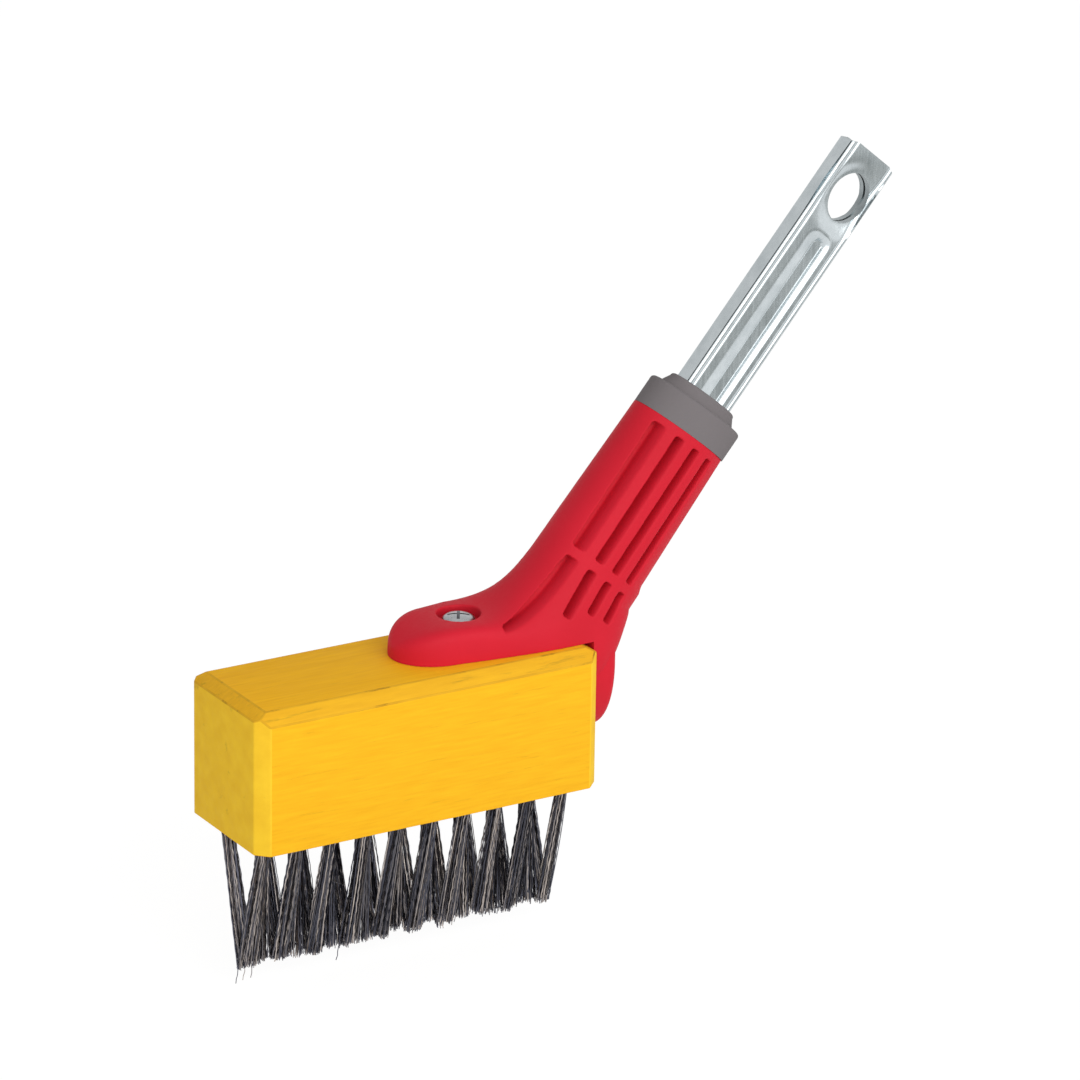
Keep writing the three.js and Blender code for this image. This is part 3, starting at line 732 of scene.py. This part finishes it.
# Collar
def collar_profile():
    """(height, inset) points from the seam to the top of the boss, with both rims rounded."""
    top = COLLAR_HEIGHT + BOSS_HEIGHT
    boss_edge = BOSS_INSET + BOSS_TAPER
    quarter = np.linspace(0, math.pi / 2, RIM_STEPS + 1)
    rim = [(COLLAR_HEIGHT - RIM_ROUND * (1 - math.sin(a)), RIM_ROUND * (1 - math.cos(a))) for a in quarter]
    boss = [(top - RIM_ROUND * (1 - math.sin(a)), boss_edge + RIM_ROUND * (1 - math.cos(a))) for a in quarter]
    foot = [
        (COLLAR_HEIGHT, BOSS_INSET - BOSS_FILLET),
        (COLLAR_HEIGHT + BOSS_FILLET_MIDDLE, BOSS_INSET - BOSS_FILLET_MIDDLE),
        (COLLAR_HEIGHT + BOSS_FILLET, BOSS_INSET)]
    return [(0.0, 0.0)] + rim + foot + boss


def make_collar():
    turn = np.arange(COLLAR_SIDES) / COLLAR_SIDES * 2 * math.pi
    rings = []
    for z, inset in collar_profile():
        x = (SHANK_DEPTH - inset) * np.cos(turn)
        y = (SHANK_HALF_WIDTH - inset) * np.sin(turn)
        rings.append(from_handle(np.column_stack([x, y, np.full(len(turn), z)])))
    piece = make_object("collar_ring", *loft(rings))
    shade(piece, sharp_degrees=40)
    return piece


# Tongue
def groove_depth(x, z):
    """A trough with a gentle left flank, a steeper right one and a spoon end, stepped down to its floor."""
    end = TONGUE_REACH - GROOVE_FROM_TIP - GROOVE_FLOOR_HALF - GROOVE_END_FLANK
    across = x - GROOVE_OFFSET
    beyond = np.maximum(z - end, 0)
    distance = np.maximum(np.hypot(across, beyond), TINY)
    side_flank = np.where(across < 0, GROOVE_LEFT_FLANK, GROOVE_RIGHT_FLANK)
    flank = mix(side_flank, GROOVE_END_FLANK, (beyond / distance) ** 2)
    trough = smooth_step((GROOVE_FLOOR_HALF + flank - distance) / flank)
    step = smooth_step((GROOVE_FLOOR_HALF + GROOVE_STEP_WIDTH - distance) / GROOVE_STEP_WIDTH)
    return (GROOVE_DEPTH - GROOVE_STEP) * trough + GROOVE_STEP * step


def hole_dish(x, z):
    middle = TONGUE_REACH - LOCK_HOLE_FROM_TIP
    radial = np.hypot((x - LOCK_HOLE_OFFSET) / LOCK_HOLE_WIDTH, (z - middle) / LOCK_HOLE_LENGTH)
    outside = np.maximum(radial - 0.5, 0) * LOCK_HOLE_WIDTH
    return HOLE_DISH_DEPTH * np.exp(-(outside / HOLE_DISH_REACH) ** 2)


def edge_bead(x):
    """A shallow line pressed along both edges of each broad face."""
    away = np.abs(np.abs(x) - (TONGUE_WIDTH / 2 - BEAD_FROM_EDGE)) / BEAD_HALF_WIDTH
    return BEAD_DEPTH * smooth_step(1 - away)


def tongue_section():
    """Places round a rounded rectangle, with many along its broad faces."""
    half_x = TONGUE_WIDTH / 2 - TONGUE_CORNER
    half_y = TONGUE_THICKNESS / 2 - TONGUE_CORNER
    arc = np.linspace(0, math.pi / 2, TONGUE_CORNER_STEPS + 1)
    broad = np.linspace(-half_x, half_x, TONGUE_FACE_PLACES)[1:-1]
    places = []
    for quarter, (sx, sy) in enumerate(((1, 1), (-1, 1), (-1, -1), (1, -1))):
        turn = arc + quarter * math.pi / 2
        corner = np.column_stack([np.cos(turn), np.sin(turn)]) * TONGUE_CORNER
        places.extend((corner + [sx * half_x, sy * half_y]).tolist())
        if quarter == 0:
            places.extend([x, TONGUE_THICKNESS / 2] for x in broad[::-1])
        if quarter == 2:
            places.extend([x, -TONGUE_THICKNESS / 2] for x in broad)
    return np.array(places)


def handle_prism(name, outline, low, high):
    """A straight-sided solid from an outline of (x, z) points in the handle's frame, between two y."""
    rings = [from_handle([(x, y, z) for x, z in outline]) for y in (low, high)]
    return make_object(name, *loft(rings))


def lock_hole():
    turn = np.arange(LOCK_HOLE_SIDES) / LOCK_HOLE_SIDES * 2 * math.pi
    x = LOCK_HOLE_OFFSET + LOCK_HOLE_WIDTH / 2 * np.cos(turn)
    z = TONGUE_REACH - LOCK_HOLE_FROM_TIP + LOCK_HOLE_LENGTH / 2 * np.sin(turn)
    return handle_prism("lock_hole", list(zip(x, z)), -TONGUE_THICKNESS, TONGUE_THICKNESS)


def tongue_cavity(half_y, depth):
    half_x = TONGUE_WIDTH / 2 - TONGUE_WALL
    start = TONGUE_REACH - depth
    end = TONGUE_REACH + CUT_CLEARANCE
    outline = [(-half_x, start), (half_x, start), (half_x, end), (-half_x, end)]
    return handle_prism("cavity", outline, -half_y, half_y)


def tip_cut(side):
    edge = TONGUE_WIDTH / 2
    outline = [
        (side * (edge - TIP_CHAMFER), TONGUE_REACH), (side * edge, TONGUE_REACH - TIP_DROP),
        (side * (edge + TIP_CHAMFER), TONGUE_REACH), (side * edge, TONGUE_REACH + TIP_DROP)]
    return handle_prism("tip_cut", outline, -TONGUE_THICKNESS, TONGUE_THICKNESS)


def seam_slit():
    """The gap on the narrow side where the folded sheet's edges meet, which gapes beside the lock hole."""
    z = np.linspace(COLLAR_HEIGHT, TONGUE_REACH + CUT_CLEARANCE, SEAM_PLACES)
    gape = SEAM_GAPE * np.exp(-((z - TONGUE_REACH + LOCK_HOLE_FROM_TIP) / LOCK_HOLE_LENGTH * 2) ** 2)
    near = np.full(len(z), SEAM_FROM_FACE - TONGUE_THICKNESS / 2)
    outline = list(zip(near, z)) + list(zip((near + SEAM_SLIT + gape)[::-1], z[::-1]))
    left = -TONGUE_WIDTH / 2
    ends = (left - CUT_CLEARANCE, left + TONGUE_WALL)
    rings = [from_handle([(x, y, along) for y, along in outline]) for x in ends]
    return make_object("seam_slit", *loft(rings))


def make_tongue():
    section = tongue_section()
    x = section[:, 0]
    side = np.sign(section[:, 1])
    rings = []
    for z in np.linspace(COLLAR_HEIGHT / 2, TONGUE_REACH, TONGUE_RINGS):
        sunk = np.maximum(groove_depth(x, z), hole_dish(x, z)) + edge_bead(x)
        flat = np.abs(section[:, 1]) >= TONGUE_THICKNESS / 2 - TINY
        y = section[:, 1] - side * np.where(flat, sunk, 0)
        rings.append(from_handle(np.column_stack([x, y, np.full(len(x), z)])))
    piece = make_object("tongue_sheet", *loft(rings))
    hollow = tongue_cavity(TONGUE_HOLLOW / 2, GROOVE_FROM_TIP - TONGUE_WALL)
    opening = tongue_cavity(TONGUE_THICKNESS / 2 - TONGUE_WALL, TIP_OPENING)
    combine(piece, [hollow, opening, lock_hole(), tip_cut(-1), tip_cut(1), seam_slit()])
    shade(piece, sharp_degrees=35)
    return piece


def inside_hole(place):
    """Whether a point of the tongue lies in the bore of its lock hole or in the hollow behind it."""
    x, y, z = HANDLE_FRAME.inverted() @ place / MM
    middle = TONGUE_REACH - LOCK_HOLE_FROM_TIP
    reach = math.hypot((x - LOCK_HOLE_OFFSET) / LOCK_HOLE_WIDTH, (z - middle) / LOCK_HOLE_LENGTH) * 2
    in_hollow = (
        abs(y) <= TONGUE_HOLLOW / 2 + LOCK_HOLE_MARGIN
        and abs(x) <= TONGUE_WIDTH / 2 - TONGUE_WALL + LOCK_HOLE_MARGIN)
    return reach < 1 + LOCK_HOLE_MARGIN or in_hollow


# Screws
def dome_height(radius):
    share = max(1 - (radius / SCREW_HEAD_RADIUS) ** 2, 0)
    return mix(SCREW_HEAD_RIM, SCREW_HEAD_HEIGHT, share ** SCREW_DOME_POWER)


def make_screw(name, matrix):
    lifts = np.arange(SCREW_DOME_STEPS + 1) / SCREW_DOME_STEPS * math.pi / 2
    radii = [SCREW_HEAD_RADIUS * math.sin(lift) for lift in lifts]
    profile = [(radius, dome_height(radius)) for radius in radii] + [
        (SCREW_HEAD_RADIUS, 0), (SCREW_SHANK_RADIUS, 0), (SCREW_SHANK_RADIUS, SCREW_POINT - SCREW_LENGTH)]
    turn = np.arange(SCREW_SIDES) / SCREW_SIDES * 2 * math.pi
    rings = []
    for radius, z in profile:
        radius = max(radius, SCREW_TOP_RADIUS)
        rings.append(np.column_stack([
            radius * np.cos(turn), radius * np.sin(turn), np.full(SCREW_SIDES, z)]))
    points, faces = loft(rings)
    piece = make_object(name, moved(points, matrix), faces)
    for turned in (0, math.pi / 2):
        floor = SCREW_HEAD_HEIGHT - CROSS_DEPTH
        top = SCREW_HEAD_HEIGHT + CROSS_CLEARANCE
        arm = [
            (-CROSS_ARM / 2, top), (CROSS_ARM / 2, top), (CROSS_FLOOR / 2, floor), (-CROSS_FLOOR / 2, floor)]
        rings = [np.array([(u, v, w) for u, w in arm]) for v in (-CROSS_SLOT / 2, CROSS_SLOT / 2)]
        points, faces = loft(rings)
        turn_matrix = matrix @ Matrix.Rotation(turned + math.radians(CROSS_TURN), 4, "Z")
        combine(piece, [make_object("cross", moved(points, turn_matrix), faces)])
    shade(piece, sharp_degrees=35)
    return piece


def in_cross(place, matrix):
    """Whether a point of a screw lies in the cross recess of its head."""
    x, y, z = matrix.inverted() @ (place / MM - Vector((BLOCK_SHIFT, 0, 0)))
    radius = math.hypot(x, y)
    return radius < CROSS_ARM / 2 and CROSS_ABOVE_SEAT < z < dome_height(radius) - CROSS_BELOW_DOME


# Materials
def new_material(name):
    material = bpy.data.materials.new(name)
    material.use_nodes = True
    return material, material.node_tree, material.node_tree.nodes["Principled BSDF"]


def add(tree, kind, **values):
    made = tree.nodes.new("ShaderNode" + kind)
    for key, value in values.items():
        setattr(made, key, value)
    return made


def object_places(tree, scale=(1, 1, 1), rotation=(0, 0, 0)):
    coordinates = add(tree, "TexCoord")
    mapping = add(tree, "Mapping")
    mapping.inputs["Scale"].default_value = scale
    mapping.inputs["Rotation"].default_value = rotation
    tree.links.new(coordinates.outputs["Object"], mapping.inputs["Vector"])
    return mapping.outputs["Vector"]


def noise(tree, places, scale, detail=4.0, roughness=0.55):
    made = add(tree, "TexNoise")
    made.inputs["Scale"].default_value = scale
    made.inputs["Detail"].default_value = detail
    made.inputs["Roughness"].default_value = roughness
    tree.links.new(places, made.inputs["Vector"])
    return made.outputs["Fac"]


def ramp(tree, factor, limits, deep, pale):
    """A colour that runs from deep to pale while the factor runs between two limits."""
    made = add(tree, "ValToRGB")
    for element, position, colour in zip(made.color_ramp.elements, limits, (deep, pale)):
        element.position = position
        element.color = (*colour, 1)
    tree.links.new(factor, made.inputs["Fac"])
    return made.outputs["Color"]


def blend_colours(tree, factor, first, colour):
    made = add(tree, "Mix", data_type="RGBA")
    tree.links.new(factor, made.inputs["Factor"])
    tree.links.new(first, made.inputs["A"])
    made.inputs["B"].default_value = (*colour, 1)
    return made.outputs["Result"]


def add_bump(tree, shader, height, strength, distance):
    made = add(tree, "Bump")
    made.inputs["Strength"].default_value = strength
    made.inputs["Distance"].default_value = distance * MM
    tree.links.new(height, made.inputs["Height"])
    tree.links.new(made.outputs["Normal"], shader.inputs["Normal"])


def span(tree, value, from_range, to_range):
    made = add(tree, "MapRange")
    for key, number in zip(("From Min", "From Max", "To Min", "To Max"), (*from_range, *to_range)):
        made.inputs[key].default_value = number
    tree.links.new(value, made.inputs["Value"])
    return made.outputs["Result"]


def painted_wood(name, pale, deep, streak, streak_from, stretch):
    """Thin yellow paint over wood: grain drawn out along x, fine pores and streaks of thin paint."""
    material, tree, shader = new_material(name)
    grain = noise(tree, object_places(tree, (1, stretch, stretch)), scale=70, detail=5)
    base = ramp(tree, grain, NOISE_RANGE, deep, pale)
    streaks = noise(tree, object_places(tree, (1, stretch, stretch)), scale=55, detail=8, roughness=0.7)
    mask = span(tree, streaks, (streak_from, streak_from + STREAK_EDGE), (0, 1))
    tree.links.new(blend_colours(tree, mask, base, streak), shader.inputs["Base Color"])
    pores = noise(tree, object_places(tree, (1, 2 * stretch, 2 * stretch)), scale=160, detail=3)
    tree.links.new(span(tree, pores, NOISE_RANGE, (0.55, 0.75)), shader.inputs["Roughness"])
    shader.inputs["Specular IOR Level"].default_value = 0.08
    add_bump(tree, shader, pores, strength=0.3, distance=0.12)
    return material


def moulded_plastic(name, pale, deep, roughness, grain_scale):
    """Moulded plastic: a faint cloudiness in its colour and a fine spark-eroded grain."""
    material, tree, shader = new_material(name)
    cloud = noise(tree, object_places(tree), scale=28, detail=3)
    tree.links.new(ramp(tree, cloud, NOISE_RANGE, deep, pale), shader.inputs["Base Color"])
    grain = noise(tree, object_places(tree), scale=grain_scale, detail=2)
    spread = span(tree, grain, NOISE_RANGE, (roughness - 0.05, roughness + 0.05))
    tree.links.new(spread, shader.inputs["Roughness"])
    shader.inputs["Specular IOR Level"].default_value = 0.12
    add_bump(tree, shader, grain, strength=0.12, distance=0.05)
    return material


def zinc_sheet(name, pale, deep, roughness):
    """Bright zinc plating, with faint drawing lines along the handle and small dull patches."""
    material, tree, shader = new_material(name)
    turned = (0, math.radians(HANDLE_ANGLE - 90), 0)
    lines = noise(tree, object_places(tree, (26, 26, 1), turned), scale=60, detail=4)
    patches = noise(tree, object_places(tree), scale=120, detail=6, roughness=0.7)
    tone = ramp(tree, patches, (0.35, 0.65), deep, pale)
    tree.links.new(tone, shader.inputs["Base Color"])
    shader.inputs["Metallic"].default_value = 1
    spread = span(tree, lines, NOISE_RANGE, (roughness - 0.06, roughness + 0.08))
    tree.links.new(spread, shader.inputs["Roughness"])
    add_bump(tree, shader, lines, strength=0.12, distance=0.04)
    return material


def wire_steel(name, pale, deep):
    """Drawn steel wire, dark with oil; every wire has its own tone, and a tint that changes along it."""
    material, tree, shader = new_material(name)
    tone = add(tree, "NewGeometry").outputs["Random Per Island"]
    base = ramp(tree, tone, (0.5, 1), deep, pale)
    tint = noise(tree, object_places(tree, (3, 3, 1)), scale=260, detail=4)
    oiled = blend_colours(tree, span(tree, tint, (0.45, 0.7), (0, 0.7)), base, deep)
    tree.links.new(oiled, shader.inputs["Base Color"])
    shader.inputs["Metallic"].default_value = 1
    tree.links.new(span(tree, tint, NOISE_RANGE, (0.28, 0.45)), shader.inputs["Roughness"])
    return material


face_wood = painted_wood(
    "face_paint", pale=(0.95, 0.51, 0.016), deep=(0.87, 0.43, 0.012), streak=(0.74, 0.37, 0.012),
    streak_from=0.6, stretch=14)
end_wood = painted_wood(
    "end_grain", pale=(0.98, 0.62, 0.034), deep=(0.9, 0.53, 0.026), streak=(0.7, 0.41, 0.026),
    streak_from=0.6, stretch=2.5)
edge_wood = painted_wood(
    "thin_paint", pale=(0.87, 0.47, 0.02), deep=(0.78, 0.4, 0.018), streak=(0.62, 0.34, 0.02),
    streak_from=0.56, stretch=9)
worn_wood = painted_wood(
    "worn_edge", pale=(0.8, 0.43, 0.02), deep=(0.64, 0.33, 0.018), streak=(0.34, 0.17, 0.014),
    streak_from=0.56, stretch=3)
red_plastic = moulded_plastic(
    "red_plastic", pale=(0.64, 0.015, 0.033), deep=(0.58, 0.013, 0.028), roughness=0.55, grain_scale=900)
grey_plastic = moulded_plastic(
    "grey_plastic", pale=(0.186, 0.169, 0.173), deep=(0.176, 0.159, 0.163), roughness=0.7, grain_scale=1200)
zinc = zinc_sheet("zinc", pale=(0.66, 0.71, 0.73), deep=(0.53, 0.58, 0.6), roughness=0.2)
# Darker, rougher zinc for the lock hole's bore and the hollow behind it: painted shade inside the hole
hole_shade_zinc = zinc_sheet("hole_shade_zinc", pale=(0.4, 0.44, 0.45), deep=(0.24, 0.27, 0.28), roughness=0.4)
screw_steel = zinc_sheet("screw_steel", pale=(0.46, 0.47, 0.48), deep=(0.3, 0.31, 0.32), roughness=0.3)
# Dark steel for the screws' cross recesses: painted shade in the recess
recess_shade_steel = zinc_sheet("recess_shade_steel", pale=(0.2, 0.2, 0.21), deep=(0.12, 0.12, 0.13), roughness=0.5)
wire = wire_steel("wire", pale=(0.58, 0.51, 0.46), deep=(0.085, 0.086, 0.108))


def dress(piece, materials, slot, *nodes):
    piece.data.materials.clear()
    for material in materials:
        piece.data.materials.append(material)
    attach(piece, "root")
    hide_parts(*nodes)


def block_surface(normal):
    """Which of the block's materials a face with this normal has."""
    x, y, z = (abs(value) for value in normal)
    bevel = (END_BEVEL_DROP * x + END_BEVEL_LENGTH * z) / math.hypot(END_BEVEL_DROP, END_BEVEL_LENGTH)
    chamfer = (y + z) / math.sqrt(2)
    corner = (x + y) / math.sqrt(2)
    if max(x, corner) > FLAT or z < UPRIGHT and y < FLAT:
        return END_GRAIN
    if max(chamfer, bevel) > FLAT and z < FLAT:
        return CHAMFER
    if max(y, z) > FLAT or normal[2] < 0:
        return BROAD_SIDE
    return WORN_EDGE


block = make_block()
dress(block, [face_wood, end_wood, edge_wood, worn_wood], "wood", "brush_block")
for face in block.data.polygons:
    face.material_index = block_surface(face.normal)

for row, row_name in enumerate(ROW_NAMES):
    dress(make_wire_row(row), [wire], "wire", f"bristle_row_{row_name}")

dress(make_bracket(), [red_plastic], "red_plastic", "bracket")
dress(make_collar(), [grey_plastic], "grey_plastic", "collar")
tongue = make_tongue()
dress(tongue, [zinc, hole_shade_zinc], "zinc", "tongue")
# Faces in the lock hole's bore and in the hollow behind it take the darker zinc, as painted shade
for face in tongue.data.polygons:
    face.material_index = RECESS_SHADE if inside_hole(face.center) else PLAIN
for name, node, screw_frame in (
        ("foot_screw", "top_screw", TOP_SCREW_FRAME), ("end_screw", "tail_screw", TAIL_SCREW_FRAME)):
    screw = make_screw(name, screw_frame)
    dress(screw, [screw_steel, recess_shade_steel], "zinc", node)
    # Faces in the cross recess take the dark steel, as painted shade
    for face in screw.data.polygons:
        face.material_index = RECESS_SHADE if in_cross(face.center, screw_frame) else PLAIN

for name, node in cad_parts.items():
    if name.startswith("tuft_anchor"):
        node.data.materials.clear()
        node.data.materials.append(zinc)


# Floor, light and camera
def seen_rays(tree):
    """1 for rays from the camera, a reflection or a transmission, 0 for those that only light things."""
    rays = add(tree, "LightPath")
    reflected = add(tree, "Math", operation="MAXIMUM")
    tree.links.new(rays.outputs["Is Glossy Ray"], reflected.inputs[0])
    tree.links.new(rays.outputs["Is Transmission Ray"], reflected.inputs[1])
    seen = add(tree, "Math", operation="MAXIMUM")
    tree.links.new(rays.outputs["Is Camera Ray"], seen.inputs[0])
    tree.links.new(reflected.outputs["Value"], seen.inputs[1])
    return seen.outputs["Value"]


def white_floor_material():
    """White to the camera and to reflections, with part of its brightness left to the light, for shadow."""
    material = bpy.data.materials.new("white_floor")
    material.use_nodes = True
    tree = material.node_tree
    tree.nodes.clear()
    share = add(tree, "Math", operation="MULTIPLY")
    share.inputs[1].default_value = FLOOR_GLOW_SHARE
    tree.links.new(seen_rays(tree), share.inputs[0])
    matte = add(tree, "BsdfDiffuse")
    matte.inputs["Color"].default_value = (FLOOR_GREY, FLOOR_GREY, FLOOR_GREY, 1)
    glow = add(tree, "Emission")
    glow.inputs["Strength"].default_value = FLOOR_GLOW
    both = add(tree, "MixShader")
    tree.links.new(share.outputs["Value"], both.inputs["Fac"])
    tree.links.new(matte.outputs["BSDF"], both.inputs[1])
    tree.links.new(glow.outputs["Emission"], both.inputs[2])
    output = add(tree, "OutputMaterial")
    tree.links.new(both.outputs["Shader"], output.inputs["Surface"])
    return material


def make_floor():
    mesh = bpy.data.meshes.new("floor")
    signs = ((-1, -1), (1, -1), (1, 1), (-1, 1))
    corners = [(x * FLOOR_REACH, y * FLOOR_REACH, -STRAY_DROP * MM) for x, y in signs]
    mesh.from_pydata(corners, [], [(0, 1, 2, 3)])
    mesh.materials.append(white_floor_material())
    floor = bpy.data.objects.new("floor", mesh)
    bpy.context.scene.collection.objects.link(floor)


def card_material():
    material, tree, shader = new_material("card_grey")
    fade = noise(tree, object_places(tree), scale=5, detail=2)
    tone = ramp(tree, fade, (0.35, 0.65), CARD_DEEP, CARD_PALE)
    tree.links.new(tone, shader.inputs["Base Color"])
    shader.inputs["Roughness"].default_value = 0.9
    return material


def make_card(name, corners, material):
    """A grey card over the floor, which only the metal mirrors."""
    mesh = bpy.data.meshes.new(name)
    mesh.from_pydata([(*corner, 0) for corner in corners], [], [(0, 1, 2, 3)])
    mesh.materials.append(material)
    card = bpy.data.objects.new(name, mesh)
    card.visible_camera = False
    card.visible_diffuse = False
    card.visible_shadow = False
    bpy.context.scene.collection.objects.link(card)


def make_world():
    """A white surround, a little dimmer where the tongue's narrow side mirrors it."""
    world = bpy.data.worlds.new("studio")
    bpy.context.scene.world = world
    world.use_nodes = True
    tree = world.node_tree
    level = span(tree, seen_rays(tree), (0, 1), (SURROUND_LIGHTING, SURROUND_SEEN))
    facing = add(tree, "VectorMath", operation="DOT_PRODUCT")
    facing.inputs[1].default_value = DIM_DIRECTION
    tree.links.new(add(tree, "TexCoord").outputs["Generated"], facing.inputs[0])
    dimming = span(tree, facing.outputs["Value"], (DIM_START, 1), (1, DIM_SHARE))
    strength = add(tree, "Math", operation="MULTIPLY")
    tree.links.new(level, strength.inputs[0])
    tree.links.new(dimming, strength.inputs[1])
    background = tree.nodes["Background"]
    background.inputs["Color"].default_value = (1, 1, 1, 1)
    tree.links.new(strength.outputs["Value"], background.inputs["Strength"])


def make_light(name, place, target, size, power):
    lamp = bpy.data.lights.new(name, "AREA")
    lamp.shape = "RECTANGLE"
    lamp.size, lamp.size_y = size
    lamp.energy = power
    holder = bpy.data.objects.new(name, lamp)
    bpy.context.scene.collection.objects.link(holder)
    holder.location = place
    holder.rotation_euler = (Vector(target) - Vector(place)).to_track_quat("-Z", "Y").to_euler()


def make_camera():
    azimuth, elevation, roll = (
        math.radians(v) for v in (CAMERA_AZIMUTH, CAMERA_ELEVATION, CAMERA_ROLL))
    level = math.cos(elevation)
    back = Vector((math.sin(azimuth) * level, -math.cos(azimuth) * level, math.sin(elevation)))
    right = Vector((math.cos(azimuth), math.sin(azimuth), 0))
    up = back.cross(right)
    tilted_right = right * math.cos(roll) + up * math.sin(roll)
    tilted_up = up * math.cos(roll) - right * math.sin(roll)
    centre = Vector((BLOCK_SHIFT, 0, (BLOCK_BOTTOM + BLOCK_TOP) / 2))
    place = centre + tilted_right * CAMERA_SHIFT[0] + tilted_up * CAMERA_SHIFT[1] + back * CAMERA_DISTANCE
    lens = bpy.data.cameras.new("camera")
    lens.lens = CAMERA_LENS
    lens.clip_end = CAMERA_RANGE
    camera = bpy.data.objects.new("camera", lens)
    bpy.context.scene.collection.objects.link(camera)
    turn = Matrix((tilted_right, tilted_up, back)).transposed().to_4x4()
    camera.matrix_world = Matrix.Translation(place * MM) @ turn
    bpy.context.scene.camera = camera


make_floor()
card_grey = card_material()
for name, corners in CARDS.items():
    make_card(name, corners, card_grey)
make_world()
make_light("key", KEY_PLACE, KEY_TARGET, KEY_SIZE, KEY_POWER)
make_camera()
bpy.context.scene.view_settings.view_transform = "Standard"
